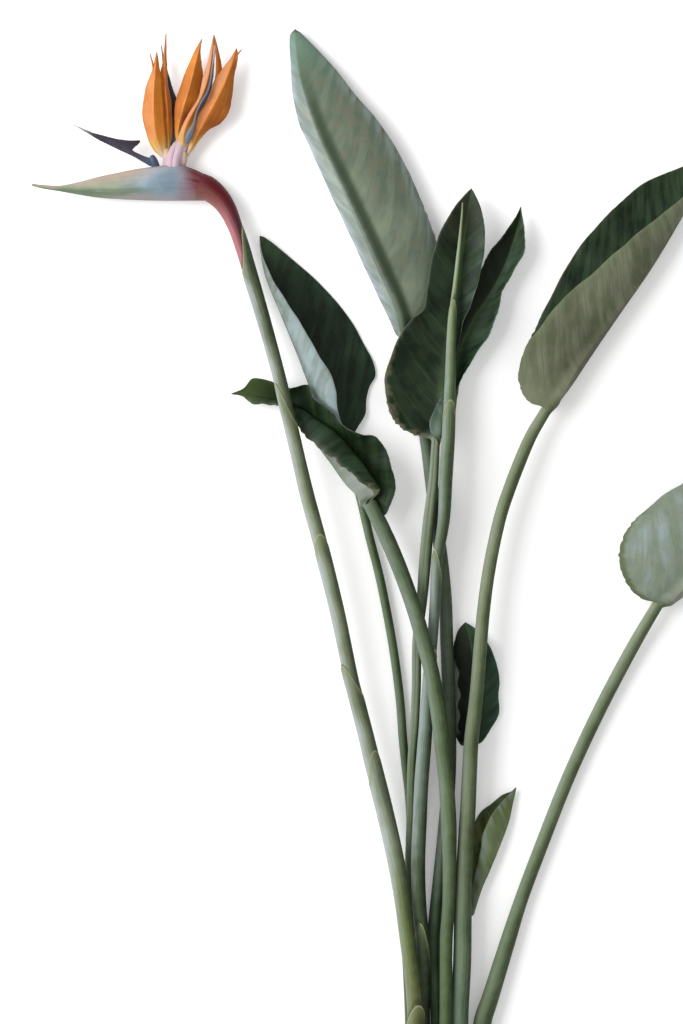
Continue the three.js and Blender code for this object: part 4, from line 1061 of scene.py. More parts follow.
@dataclass(frozen=True)
class Face:
    """The colours of one face of a leaf, and how strongly its veins and its margin show."""

    deep: Colour
    light: Colour
    rib: Colour
    blotch: Colour
    # a band of colour along the margin: a painted bluish sheen on most faces, a painted shadow on the
    # rolled leaf's back, and darker olive on the backs of two leaves
    hem: Colour
    hem_reach: float = 9.0
    hem_show: float = 0.5
    bands: float = 0.6
    lines: float = 0.35
    mains: float = 0.0
    gloss: float = 0.48


DARK = Face(
    deep=(0.004, 0.011, 0.004), light=(0.021, 0.040, 0.018), rib=(0.05, 0.085, 0.03),
    blotch=(0.014, 0.022, 0.007), hem=(0.022, 0.050, 0.036),
)
PALE = Face(
    deep=(0.075, 0.105, 0.07), light=(0.17, 0.215, 0.16), rib=(0.12, 0.155, 0.10),
    blotch=(0.125, 0.13, 0.085), hem=(0.23, 0.29, 0.29), lines=0.2, gloss=0.6,
)


@dataclass(frozen=True)
class LeafFinish:
    """A leathery leaf: dark glossy face, pale waxy back, midrib and side veins.

    Distances from the midrib and from the margin are in mm, and the first ones are below zero on
    the first half.
    """

    name: str
    face: Face = DARK
    back: Face = PALE
    # painted light and shade: what the colour of the first and of the second half is multiplied by, for how
    # each half faces the key lamp
    first_half_light: Colour = (1.0, 1.0, 1.0)
    second_half_light: Colour = (1.0, 1.0, 1.0)
    rib_shadow: tuple[float, float] = (0.0, 1.0)  # painted shadow beside the midrib, where its flank is shaded: how much shows, and its distance from the midrib
    rib_shadow_tone: Colour = (0.030, 0.050, 0.024)
    tip: Colour = (0.05, 0.075, 0.03)
    tip_show: float = 0.25
    dry_tip: Colour = (0.05, 0.032, 0.024)
    foot: Colour = (0.10, 0.13, 0.08)
    foot_show: float = 0.3
    stem: Stops = GREEN_STEM
    margin: Colour = (0.13, 0.14, 0.07)
    margin_show: float = 0.5
    margin_reach: float = 1.2
    margin_rest: float = 1.2  # its reach past the blade's foot
    scorch: float = 0.0  # width of the dry margin at the blade's foot
    scorch_end: float = 0.6
    scorch_tone: Colour = (0.11, 0.10, 0.055)
    vein_gap: float = 3.4
    shine: float = 0.16
    curl: float = 0.0  # width of the back that shows where the first margin curls over

    def paint(self) -> Material:
        """Builds the material.

        Returns:
            The material.
        """
        w = Paint(self.name)
        off, rim, share, face, stem = (w.mark(name) for name in ("off", "rim", "share", "face", "stem"))
        veins = w.group(side_veins(), Run=w.mark("vein"), Off=off, Spacing=self.vein_gap)
        bloom, fine = w.bloom(19.0, 0.75), w.bloom(85.0, 0.8)
        patches = (bloom["Amount"], fine["Amount"])
        back, front = (self.side(w, tones, veins, *patches) for tones in (self.back, self.face))
        # painted light and shade, half by half
        half_light = w.mix(w.span(off, -1.5, 1.5), self.first_half_light, self.second_half_light)
        blade = w.layers(
            w.mix(1.0, w.mix(face, back, front), half_light, Blend.MULTIPLY),
            (w.span(share, 0.72, 0.97, 0.0, self.tip_show), self.tip),
            (w.span(share, 0.2, 0.03, 0.0, self.foot_show) * (1.0 - face), self.foot),
            (w.span(share, 0.978, 0.99, 0.0, 0.75), self.dry_tip),
            *self.folds(w, off, rim, share, fine["Amount"]),
            (w.specks(320.0, 0.15) * 0.35, SPECK),
        )
        stalk, grain = waxy_stem(w, self.stem)
        gloss = w.blend(stem, w.blend(face, self.back.gloss, self.face.gloss), 0.5)
        relief = w.blend(stem, veins["Height"] + fine["Grain"] * 0.3, grain)
        gloss = gloss + (fine["Amount"] - 0.5) * 0.16
        return w.finish(w.mix(stem, blade, stalk), gloss, relief, 0.24, Specular_IOR_Level=self.shine)

    def side(self, w: Paint, tones: Face, veins: dict[str, Value], bloom: Value, fine: Value) -> Value:
        """Mixes the colour of one face.

        Args:
            w: The material.
            tones: The face's colours.
            veins: The side veins.
            bloom: The broad bloom.
            fine: The fine bloom.

        Returns:
            The colour.
        """
        share = (veins["Band"] - 0.5) * tones.bands + bloom * 0.6
        blotched = w.span(fine, 0.2, 1.0) * w.span(bloom, 0.8, 0.2)
        # the margin band: a painted sheen on most faces, a painted shadow on the rolled leaf's back
        hem = w.span(w.mark("rim"), tones.hem_reach, 0.0, 0.0, tones.hem_show) * veins["Band"]
        return w.layers(
            w.mix(w.math(Sum.ADD, share, fine * 0.2, clamp=True), tones.deep, tones.light),
            (blotched * 0.7, tones.blotch),
            (hem, tones.hem),
            (veins["Line"] * tones.lines, tones.deep),
            (veins["Main"] * tones.mains, tones.rib),
            (w.mark("rib") * 0.8, tones.rib),
        )

    def folds(self, w: Paint, off: Value, rim: Value, share: Value, patches: Value) -> list[tuple]:
        """Lists what lies over a blade beside its midrib and along its margins.

        Args:
            w: The material.
            off: The distance from the midrib.
            rim: The distance from the margin.
            share: The place along the blade.
            patches: The bloom that makes the margins uneven.

        Returns:
            The painted shadow beside the midrib, the scorch, the curled margin and the margin, as layers.
        """
        coats: list[tuple] = []
        # painted shadow on the half beside the midrib
        show, reach = self.rib_shadow
        if show:
            near = w.span(off, 0.0, 0.25 * reach) * w.span(off, reach, 0.45 * reach)
            coats.append((near * w.span(share, 0.93, 0.7, 0.0, show), self.rib_shadow_tone))
        if self.scorch:
            wide = w.span(share, self.scorch_end, 0.4 * self.scorch_end, 0.2 * self.scorch, self.scorch)
            near = w.span(w.span(patches, 0.0, 1.0, 0.4, 1.0) * wide - rim, -1.0, 4.5)
            coats.append((near * w.span(off, 1.0, -2.0, 0.0, 0.75), self.scorch_tone))
        if self.curl:
            wavy = rim + w.math(Sum.SINE, share * 40.0) * (0.3 * self.curl)
            near = w.span(wavy, self.curl, 0.8 * self.curl) * w.span(off, -1.0, -2.0)
            coats.append((near * (w.span(share, 0.12, 0.2) * w.span(share, 0.72, 0.6)), self.back.light))
        narrower = w.span(share, 0.2, 0.5, 0.0, self.margin_reach - self.margin_rest)
        ragged = rim + narrower + patches * 0.8
        edge = w.span(ragged, self.margin_reach, self.margin_reach / 3, 0.0, self.margin_show)
        return [*coats, (edge, self.margin)]


@dataclass(frozen=True)
class StalkFinish:
    """A waxy green stalk with pale sheath mouths, and rose to burgundy where it turns to the flower."""

    name: str
    stops: Stops
    rosy: bool = False
    # how strong the painted highlight on the stalk's left is
    left_highlight: float = 0.5
    shadow: Colour = (0.030, 0.042, 0.016)
    pale: Colour = (0.17, 0.20, 0.085)
    papery: Colour = (0.32, 0.34, 0.20)
    dry: Colour = (0.13, 0.085, 0.045)
    rose: Colour = (0.34, 0.125, 0.14)
    dark_rose: Colour = (0.075, 0.016, 0.022)
    bend: Colour = (0.17, 0.060, 0.045)
    dark_bend: Colour = (0.095, 0.003, 0.009)
    neck_end: Colour = (0.19, 0.075, 0.085)
    neck_start: Colour = (0.29, 0.15, 0.13)

    def paint(self) -> Material:
        """Builds the material.

        Returns:
            The material.
        """
        w = Paint(self.name)
        mouth, coat, fine = w.mark("mouth"), w.mark("coat"), w.bloom(110.0, 0.8)["Amount"]
        colour, relief = waxy_stem(w, self.stops, self.left_highlight)
        if self.rosy:
            colour = self.blushed(w, colour, coat)
        colour = w.layers(
            colour,
            # painted shadow on the bare stalk just above each sheath's mouth
            (w.span(mouth, -10.0, -1.0, 0.0, 0.65) * w.span(mouth, -0.2, -0.6), self.shadow),
            (w.span(mouth, 16.0, 1.0, 0.0, 0.6) * coat, self.pale),
            (w.span(mouth, 2.6, 0.9, 0.0, 0.9) * coat, self.papery),
            (w.span(mouth, 0.8, 0.2) * (coat * fine), self.dry),
        )
        return w.finish(colour, fine * 0.14 + 0.42, relief, 0.2, Specular_IOR_Level=0.22)

    def blushed(self, w: Paint, colour: Value, coat: Value) -> Value:
        """Lays the rose and burgundy of the neck over the green.

        Args:
            w: The material.
            colour: The green stalk's colour.
            coat: The mark that is 1 on a sheath.

        Returns:
            The colour.
        """
        side, x, y = w.mark("side"), w.axis("X"), w.axis("Y")
        streak = w.fibres(side, w.mark("top"), 5.0)["Streak"]
        outer = w.span(side + streak * 0.35, -0.6, 0.7)
        rosy = w.mix(outer, self.rose, self.dark_rose)
        neck = w.mix(w.span(y, 0.322, 0.366), rosy, w.mix(outer, self.bend, self.dark_bend))
        neck = w.mix(w.span(x, -0.180, -0.200, 0.0, 0.35), neck, self.neck_end)
        reach = y + streak * 0.008
        skin = w.mix(w.span(reach, 0.262, 0.285), colour, self.neck_start)
        return w.mix(1.0 - coat, colour, w.mix(w.span(reach, 0.276, 0.296), skin, neck))


@dataclass(frozen=True)
class SpatheFinish:
    """A fleshy bract: blue-grey bloom, green keel, pink lips and burgundy where the neck ends."""

    name: str
    deep: Colour = (0.15, 0.215, 0.275)
    light: Colour = (0.26, 0.33, 0.40)
    tip_deep: Colour = (0.17, 0.20, 0.12)
    tip_light: Colour = (0.29, 0.31, 0.22)
    green: Colour = (0.10, 0.16, 0.085)
    keel: Colour = (0.29, 0.26, 0.26)
    blush: Colour = (0.38, 0.30, 0.24)
    lip: Colour = (0.34, 0.17, 0.15)
    neck: Colour = (0.21, 0.13, 0.16)
    wine_keel: Colour = (0.18, 0.072, 0.058)
    wine_lip: Colour = (0.13, 0.006, 0.016)
    thread: Colour = (0.32, 0.35, 0.35)

    def paint(self) -> Material:
        """Builds the material.

        Returns:
            The material.
        """
        w = Paint(self.name)
        share, across = w.mark("share"), w.mark("across")
        lip = abs(across)
        fibre, fine = w.fibres(across, 0.0, 12.0), w.bloom(120.0, 0.8)
        bloom = w.bloom(34.0, 0.7)["Amount"]
        wobble = (fibre["Streak"] - 0.5) * 0.16
        high = lip + (wobble + bloom * 0.12)
        reach = share + wobble * 0.06
        wine = w.mix(w.span(lip, 0.15, 0.6), self.wine_keel, self.wine_lip)
        body = w.layers(
            w.mix(bloom, self.deep, self.light),
            (w.span(share, 0.28, 0.56), w.mix(bloom, self.tip_deep, self.tip_light)),
            (w.span(high, 0.62, 0.3) * w.span(share, 0.22, 0.5, 0.1, 0.9), self.green),
            (w.span(high, 0.34, 0.12) * w.span(share, 0.68, 0.45, 0.0, 0.85), self.keel),
            (w.span(high, 0.62, 1.0) * w.span(share, 0.22, 0.42, 0.2, 0.9), self.blush),
            (w.span(lip, 0.95, 0.99, 0.0, 0.65), self.lip),
            (w.span(reach, 0.19, 0.10, 0.0, 0.8), self.neck),
            (w.span(reach - lip * 0.05, 0.10, 0.01), wine),
            (fibre["Streak"] * 0.12, self.thread),
        )
        relief = fibre["Height"] + fine["Grain"] * 0.3
        return w.finish(body, fine["Amount"] * 0.14 + 0.44, relief, 0.18, Specular_IOR_Level=0.3)


@dataclass(frozen=True)
class PetalFinish:
    """Thin flower tissue that changes colour from root to tip, with painted light and shade half to half.
    """

    name: str
    deep: Colour
    light: Colour
    # painted shade, laid where a half's shading is below zero
    dark: Colour
    # painted pink highlight, laid where a half's shading is above zero
    blush: Colour
    root: Colour
    foot: Colour
    tip: Colour
    foot_ends: float = 0.14
    tip_starts: float = 0.82
    gloss: float = 0.46
    glow: float = 0.1

    def paint(self) -> Material:
        """Builds the material.

        Returns:
            The material.
        """
        w = Paint(self.name)
        share, across = w.mark("share"), w.mark("across")
        fibre, fine = w.fibres(across, w.mark("top"), 7.0), w.bloom(160.0, 0.7)
        mixed = w.bloom(45.0, 0.6)["Amount"] * 0.6 + fibre["Streak"] * 0.4
        tone = w.mark("tone") + (mixed - 0.5) * 0.4
        reach = share + (fibre["Streak"] - 0.5) * 0.14
        body = w.layers(
            w.mix(mixed, self.deep, self.light),
            # painted shade and painted highlight, by each half's shading
            (w.span(tone, 0.0, -1.0), self.dark),
            (w.span(tone, 0.1, 1.0), self.blush),
            (w.span(abs(across), 0.2, 0.02, 0.0, 0.3), self.light),
            (w.span(abs(across), 0.84, 1.0, 0.0, 0.35), self.deep),
            (w.span(reach, self.tip_starts, 1.0), self.tip),
            (w.span(reach, self.foot_ends, self.foot_ends * 0.5), self.foot),
            (w.span(reach, self.foot_ends * 0.5, self.foot_ends * 0.2), self.root),
        )
        relief = fibre["Height"] + fine["Grain"] * 0.25
        constants = {"Specular_IOR_Level": 0.35, "Subsurface_Weight": self.glow, "Subsurface_Scale": 0.002}
        return w.finish(body, fine["Amount"] * 0.12 + self.gloss, relief, 0.16, **constants)


@dataclass(frozen=True)
class CutFinish:
    """The flesh that shows where a stem is cut, or the strands in it."""

    name: str
    deep: Colour
    light: Colour
    scale: float
    gloss: float
    dew: float = 0.0  # how much the gloss changes with the colour
    depth: float = 0.05

    def paint(self) -> Material:
        """Builds the material.

        Returns:
            The material.
        """
        w = Paint(self.name)
        bloom = w.bloom(self.scale, 0.9)
        colour = w.mix(bloom["Amount"], self.deep, self.light)
        gloss = bloom["Amount"] * self.dew + self.gloss if self.dew else self.gloss
        return w.finish(colour, gloss, bloom["Grain"], self.depth)


# ---- blades ----


@dataclass(frozen=True)
class Blade:
    """A thin blade between two margins, with a rib between them. Its sizes are in mm."""

    rib: Rows
    first: Rows
    second: Rows
    first_bulge: Rows = FLAT
    second_bulge: Rows = FLAT
    wave: tuple[float, float] = (0.0, 0.0)  # height and count
    frill: float = 0.0
    edge: float = 0.9
    rib_radius: float = 0.0
    rows: int = 110
    columns: int = 14
    tip: float = 0.3
    seed: int = 1
    teeth: tuple[Teeth, Teeth] = (Teeth(), Teeth())
    end: float = 0.9985
    slim: float = 1.0

    RISE = 1.5  # height of the midrib in petiole radii, where it starts
    RIB_ABOVE = 0.25  # share of that height on the upper face
    FULL = 12.0  # half width from which a half bulges fully
    TOOTH_FADE = 0.04  # share of the blade over which the teeth begin and end
    HOLD = 0.05  # share of the blade over which it is at least as wide as its petiole
    POINT = 0.015  # share of the blade over which its tip closes
    VEIN_SLANT = (0.85, 0.007)  # how far a side vein runs ahead for each mm off the rib, and its square

    def offsets(self, bulge: Rows, shares: Array) -> Array:
        """Reads a list of across, down and up offsets at shares of the length.

        Args:
            bulge: The offsets.
            shares: The places along the blade.

        Returns:
            One offset a share, in metres of the frame.
        """
        table = np.array(bulge, float) * MM * (1, -1, 1)
        spots = np.linspace(0, 1, len(table))
        return np.column_stack([np.interp(shares, spots, column) for column in table.T])

    def half(self, which: Half, shares: Array, spots: Array) -> tuple[Array, Array]:
        """Lays one half of the middle surface.

        Args:
            which: The half.
            shares: The rows' places along the blade.
            spots: The columns' places from the rib at 0 to the margin at 1.

        Returns:
            The points, and the half width at each row.
        """
        margin, bulge, teeth = {
            Half.FIRST: (self.first, self.first_bulge, self.teeth[0]),
            Half.SECOND: (self.second, self.second_bulge, self.teeth[1]),
        }[which]
        rib, phase = Curve(self.rib), which.value
        root = rib.at(shares)
        span = Curve(margin).at(shares) - root
        torn = ease((shares - teeth.start) / self.TOOTH_FADE) * ease((teeth.end - shares) / self.TOOTH_FADE)
        torn = teeth.depth * torn * (0.5 + 0.5 * ripple(shares * 30, self.seed + 5 + phase, 7))
        reach = np.maximum(np.linalg.norm(span, axis=1) * self.slim - torn * MM, self.tip * MM)
        reach = np.maximum(reach, self.rib_radius * MM * np.clip(1 - shares / self.HOLD, 0, 1))
        reach = reach * ease((self.end + 0.001 - shares) / self.POINT) ** 0.5
        span = unit(span) * reach[:, None]
        lift = unit(np.cross(span, rib.tangent(rib.spot(shares))))
        fade = np.sin(math.pi * shares) ** 0.5
        swing = np.sin(math.tau * self.wave[1] * shares + phase) * fade
        crimp = ripple(shares * self.wave[1] * 2.2, self.seed + phase) * fade
        s = spots[None, :, None]
        full = np.minimum(1, reach / MM / self.FULL)[:, None, None]
        puff = self.offsets(bulge, shares)[:, None] * 4 * s * (1 - s) * full
        up = self.wave[0] * MM * s**2 * swing[:, None, None] + self.frill * MM * s**5 * crimp[:, None, None]
        return root[:, None] + span[:, None] * s + puff + lift[:, None] * up, reach

    def grid(self) -> tuple[Array, Array, Array, Array]:
        """Lays the middle surface.

        Returns:
            The shares of its rows, the places of its columns from -1 to 1, its points, and the
            half width at each point.
        """
        even = np.linspace(0, 1, self.rows)
        shares = self.end * (even + (1 - np.cos(math.pi * even)) / 2) / 2
        half = np.linspace(0, 1, self.columns + 1)[1:]
        half = 0.7 * half + 0.3 * half**2
        left, left_reach = self.half(Half.FIRST, shares, half)
        right, right_reach = self.half(Half.SECOND, shares, half)
        middle = Curve(self.rib).at(shares)[:, None]
        points = np.concatenate((left[:, ::-1], middle, right), axis=1)
        places = np.concatenate((-half[::-1], [0.0], half))
        reach = np.where(places < 0, left_reach[:, None], right_reach[:, None])
        return shares, places, points, reach

    def rings(self) -> tuple[Array, Marks]:
        """Gives the middle surface its two faces and rounds its margins.

        Returns:
            The rings, over the upper face from the first margin and back under it, and the marks.
        """
        shares, places, points, reach = self.grid()
        across = np.gradient(points, axis=1)
        normal = unit(np.cross(across, np.gradient(points, axis=0)))
        along, over = np.broadcast_arrays(shares[:, None], places)
        root, thick = self.rib_radius, self.edge / 2
        breadth = root * (1 - along) + 1
        apart = np.linalg.norm(points - points[:, [len(places) // 2]], axis=2) / MM
        ridge = self.RISE * root * (1 - along) ** 1.3 * np.exp(-((apart / breadth) ** 2))
        upper = points + normal * (thick + self.RIB_ABOVE * ridge)[..., None] * MM
        lower = points - normal * (thick + ridge)[..., None] * MM
        out = unit(across) * thick * MM
        left, right = points[:, [0]] - out[:, [0]], points[:, [-1]] + out[:, [-1]]
        rings = np.concatenate((upper, right, lower[:, ::-1], left), axis=1)
        run = along * Curve(self.rib).length / MM
        side = np.abs(over) * reach / MM
        slant, bend = self.VEIN_SLANT
        marks = {
            "share": along,
            "across": over,
            "run": run * FIBRE_RUN,
            "vein": run - slant * side - bend * side**2,
            "off": side * np.sign(over),
            "rim": (1 - np.abs(over)) * reach / MM,
            "rib": np.exp(-((apart / (0.75 * breadth)) ** 2)) * (1 - 0.6 * along),
            "face": np.ones(over.shape),
        }
        marks = {name: self.wrap(value) for name, value in marks.items()}
        size = len(places)
        marks["face"][:, size + 1 :] = 0.0
        marks["face"][:, [size, -1]] = 0.5
        return rings, marks

    def wrap(self, value: Array) -> Array:
        """Repeats a value of the middle surface over both faces."""
        return np.concatenate((value, value[:, [-1]], value[:, ::-1], value[:, [0]]), axis=1)


@dataclass(frozen=True)
class Leaf:
    """A leaf: a channelled petiole that runs on into the blade's midrib."""

    finish: LeafFinish
    groove: float = 0.12
    frill: float = 0.3
    calm: float = 1.0  # how much of the wave of the part's source is left
    seed: int = 1
    teeth: tuple[Teeth, Teeth] = (Teeth(), Teeth())
    end: float = 0.9985

    GROOVE_WIDTH = 0.5  # in radians
    GROOVE_START = 0.35  # share of the groove's depth at the petiole's base
    JOIN = 0.055  # share of the blade over which the petiole's round turns into it
    FADE = 0.088  # share of the blade over which the petiole's finish ends
    STEP = 4.0  # length of petiole between two rings, in mm
    OPEN = 8  # the row of the blade at which its spread is read, for the petiole's roll
    STEM_RIM = 20.0  # what a petiole gives as its distance from the margin, in mm

    def blade(self, petiole: Rows, wave: tuple[float, float], **rows: Rows) -> tuple[Array, Marks]:
        """Lays the blade alone.

        Args:
            petiole: The rows of the petiole.
            wave: The height and the count of the part's waves.
            rows: The rows of the blade.

        Returns:
            Its rings and its marks.
        """
        looks = {"frill": self.frill, "teeth": self.teeth, "seed": self.seed, "end": self.end}
        calmer = (wave[0] * self.calm, wave[1])
        return Blade(**rows, **looks, wave=calmer, rib_radius=petiole[-1][3]).rings()

    def build(self, cut: Material) -> None:
        """Builds and dresses the leaf.

        Args:
            cut: The material of the cut end.
        """
        name = self.finish.name
        shape = LEAVES[name]
        rings, marks = self.blade(**shape)
        size = rings.shape[1]
        turns = turns_of(size, 1)
        stem = Stem(shape["petiole"])
        end = stem.stations(np.array([1.0]))
        span = rings[self.OPEN, size // 2 - 2] - rings[self.OPEN, 0]
        roll = math.atan2(float(span @ end.top[0]), float(span @ end.right[0]))
        groove = 1 - self.groove * np.exp(-(((turns - math.pi / 2) / self.GROOVE_WIDTH) ** 2))
        shares = np.linspace(CUT_SHARE, 1, int(stem.mm / self.STEP))
        at = stem.stations(shares)
        hollow = 1 - (1 - groove) * (self.GROOVE_START + (1 - self.GROOVE_START) * shares[:, None])
        tube = at.rings(turns + roll, at.radius[:, None] * hollow)
        rib = Curve(shape["rib"]).at(marks["share"][:, 0])
        start = rib[:, None] + end.spokes(turns + roll) * (end.radius * groove)[:, None]
        share = ease(marks["share"][:, 0] / self.JOIN)[:, None, None]
        rings = start * (1 - share) + rings * share
        skin = Skin(name)
        marks = self.join_marks(stem, shares[:-1], turns, roll, marks)
        skin.loft(np.concatenate((tube[:-1], rings)), marks, first=1)
        settle(skin.build(self.finish.paint(), cut), name, name)

    def join_marks(self, stem: Stem, shares: Array, turns: Array, roll: float, blade: Marks) -> Marks:
        """Puts the petiole's marks before the blade's.

        Args:
            stem: The petiole.
            shares: The places of its rings.
            turns: The turns of a ring's points.
            roll: How far the leaf is rolled about its petiole.
            blade: The blade's marks.

        Returns:
            The marks of the whole leaf.
        """
        length = stem.mm * FIBRE_RUN
        stalk = {"share": 0.0, "rib": 0.0, "vein": 0.0, "off": 0.0, "rim": self.STEM_RIM, "stem": 1.0}
        stalk |= {"run": shares[:, None] * length, "face": np.sin(turns) > 0}
        blade = blade | {"run": blade["run"] + length, "stem": 1 - ease(blade["share"] / self.FADE)}
        for name, wave in (("side", np.cos), ("top", np.sin)):
            stalk[name] = blade[name] = wave(turns + roll)
        low, high = (len(shares), len(turns)), blade["share"].shape
        return {
            name: np.concatenate((np.broadcast_to(value, low), np.broadcast_to(blade[name], high)))
            for name, value in stalk.items()
        }


# ---- stalks ----


@dataclass(frozen=True)
class Stalk:
    """A flower stalk in pointed sheaths. Its sizes are in mm."""

    finish: StalkFinish
    rows: Rows
    sheaths: tuple[Sheath, ...]
    sides: int = 44
    step: float = 4.0
    coat: float = 0.9  # how far a sheath stands off the stalk at its mouth
    root: float = 0.8  # how deep a sheath's two ends lie in the stalk

    SHEATH_RINGS = 30
    MOUTH_FAR = 60.0  # what counts as no mouth nearby, in mm
    MOUTH_SEED = 40
    MOUTH_LAP = 0.5  # how far below a mouth the bare stalk still counts as above it, in mm
    RAGGED = 0.6  # how uneven a mouth is, in mm

    @cached_property
    def stem(self) -> Stem:
        """Measures the bare stalk."""
        return Stem(self.rows)

    @cached_property
    def turns(self) -> Array:
        """Gives the turns of a ring's points."""
        return turns_of(self.sides)

    def build(self, cut: Material) -> None:
        """Builds and dresses the stalk.

        Args:
            cut: The material of the cut end.
        """
        name = self.finish.name
        shares = np.linspace(CUT_SHARE, 1, int(self.stem.mm / self.step))
        at = self.stem.stations(shares)
        skin = Skin(name)
        marks = self.marks(shares) | {"mouth": self.below_mouths(shares), "coat": 0.0}
        skin.loft(at.rings(self.turns, at.radius), marks, first=1)
        for index, sheath in enumerate(self.sheaths):
            self.add_sheath(skin, sheath, index)
        settle(skin.build(self.finish.paint(), cut), name, name)

    def rise(self, sheath: Sheath) -> Array:
        """Says how far over a sheath's end its mouth stands at each turn, in mm."""
        return sheath.tip * (((1 + np.cos(self.turns - math.radians(sheath.side))) / 2) ** 2 - 0.3)

    def below_mouths(self, shares: Array) -> Array:
        """Measures how far above the nearest mouth each point of the bare stalk lies.

        Args:
            shares: The places of its rings.

        Returns:
            The distances, below zero, in mm.
        """
        best = np.full((len(shares), self.sides), self.MOUTH_FAR)
        for sheath in self.sheaths:
            above = shares[:, None] * self.stem.mm - (sheath.end * self.stem.mm + self.rise(sheath))
            best = np.where((above > -self.MOUTH_LAP) & (above < best), above, best)
        return -best

    def marks(self, shares: Array) -> Marks:
        """Gives what the finish reads of the stem at some shares."""
        run = (shares * self.stem.mm * FIBRE_RUN)[:, None]
        return {"run": run, "side": np.cos(self.turns), "top": np.sin(self.turns)}

    def add_sheath(self, skin: Skin, sheath: Sheath, index: int) -> None:
        """Adds one sheath.

        Args:
            skin: The stalk's skin.
            sheath: The sheath.
            index: Its number, for its uneven mouth.
        """
        inner = np.linspace(0.0, 1.0, self.SHEATH_RINGS) ** 0.8
        places = np.concatenate(([0.0], inner, [1.0]))
        shares = sheath.start + (sheath.end - sheath.start) * places
        at = self.stem.stations(shares)
        rise = self.rise(sheath)
        fade = np.linspace(0, 1, len(places))[:, None] ** 8
        ragged = self.RAGGED * ripple(self.turns * 2.5, self.MOUTH_SEED + index) * fade
        push = rise * places[:, None] ** 3 + ragged
        swell = self.coat * (0.1 + 0.9 * inner)
        reach = at.radius + np.concatenate(([-self.root], swell, [-self.root])) * MM
        below = sheath.end * self.stem.mm + rise - (shares[:, None] * self.stem.mm + push)
        marks = self.marks(shares) | {"mouth": np.maximum(below, 0), "coat": 1.0}
        skin.loft(at.rings(self.turns, reach, push * MM), marks)


# ---- the flower ----


@dataclass(frozen=True)
class Foot:
    """A small stem that holds a petal, with the petal's shares that it starts and ends at."""

    rows: Rows
    low: float
    high: float
    sides: int = 20

    CAP = 0.1  # share of its length that its round end takes up
    BLUNT = 0.04  # square of the end's least radius, in stem radii

    def grow(self, skin: Skin) -> None:
        """Adds the stem to a skin, with a round end and the marks of a petal.

        Args:
            skin: The skin.
        """
        stem, turns = Stem(self.rows), turns_of(self.sides)
        shares = np.linspace(0, 1, max(8, int(stem.mm)))
        at = stem.stations(shares)
        past = np.clip(shares - (1 - self.CAP), 0, 1) / self.CAP
        cap = np.sqrt(np.clip(1 - past**2, self.BLUNT, 1))
        share = np.linspace(self.low, self.high, len(shares))[:, None]
        marks = {"share": share, "across": np.cos(turns) * 0.6, "run": share * 3, "top": np.sin(turns)}
        skin.loft(at.rings(turns, at.radius * cap), marks)


@dataclass(frozen=True)
class FlowerPart:
    """Sepals, a tongue, the bract or the throat: blades, and the small stems that hold them."""

    name: str
    slot: str
    finish: PetalFinish | SpatheFinish
    looks: Fields  # what its blades share
    blades: tuple[Fields, ...] = ()
    tones: tuple[tuple[float, float], ...] = ()  # painted shading of each blade's two halves: darker below zero, paler above
    feet: tuple[Foot, ...] = ()

    TURN = 0.15  # place from the rib at which the painted shading of a half is reached

    def build(self) -> None:
        """Builds and dresses the part."""
        skin = Skin(self.name)
        for index, (blade, (low, high)) in enumerate(zip(self.blades, self.tones, strict=True)):
            rings, marks = Blade(**blade, **self.looks, seed=index).rings()
            tone = low + (high - low) * ease((marks["across"] + self.TURN) / (2 * self.TURN))
            kept = {name: marks[name] for name in ("share", "across", "run")}
            skin.loft(rings, kept | {"top": marks["face"], "tone": tone})
        for foot in self.feet:
            foot.grow(skin)
        settle(skin.build(self.finish.paint()), self.slot, self.name)


def throat_feet(count: int = 7) -> tuple[Foot, ...]:
    """Lays the bases of the flowers round a core, where they leave the bract.

    Args:
        count: How many bases there are.

    Returns:
        The bases, each with three rows swung off the core's, and the core.
    """
    core = ((172.5, 180.0, 13.0, 7.6), (174.3, 160.0, 13.6, 9.8), (183.0, 140.0, 12.0, 4.6))
    radii, spread = (5.0, 5.8, 2.2), np.array((3.5, 5.4, 3.0))[:, None]
    feet = []
    for index in range(count):
        turn = math.tau * (index + 0.3) / count
        over, up = math.cos(turn), math.sin(turn)
        spots = np.array([row[:3] for row in core]) + spread * (over, 0.0, up)
        spots[2] += (5.0 * over - 2.0, 2.0 * math.sin(index * 2.4) + 2.0 - 5.0 * over, 0.0)
        rows = tuple((*spot, radius) for spot, radius in zip(spots.tolist(), radii))
        feet.append(Foot(rows, 0.1, 1.0, 22))
    return (*feet, Foot(core, 0.1, 0.6, 32))


# ---- cut ends, by geometry nodes ----


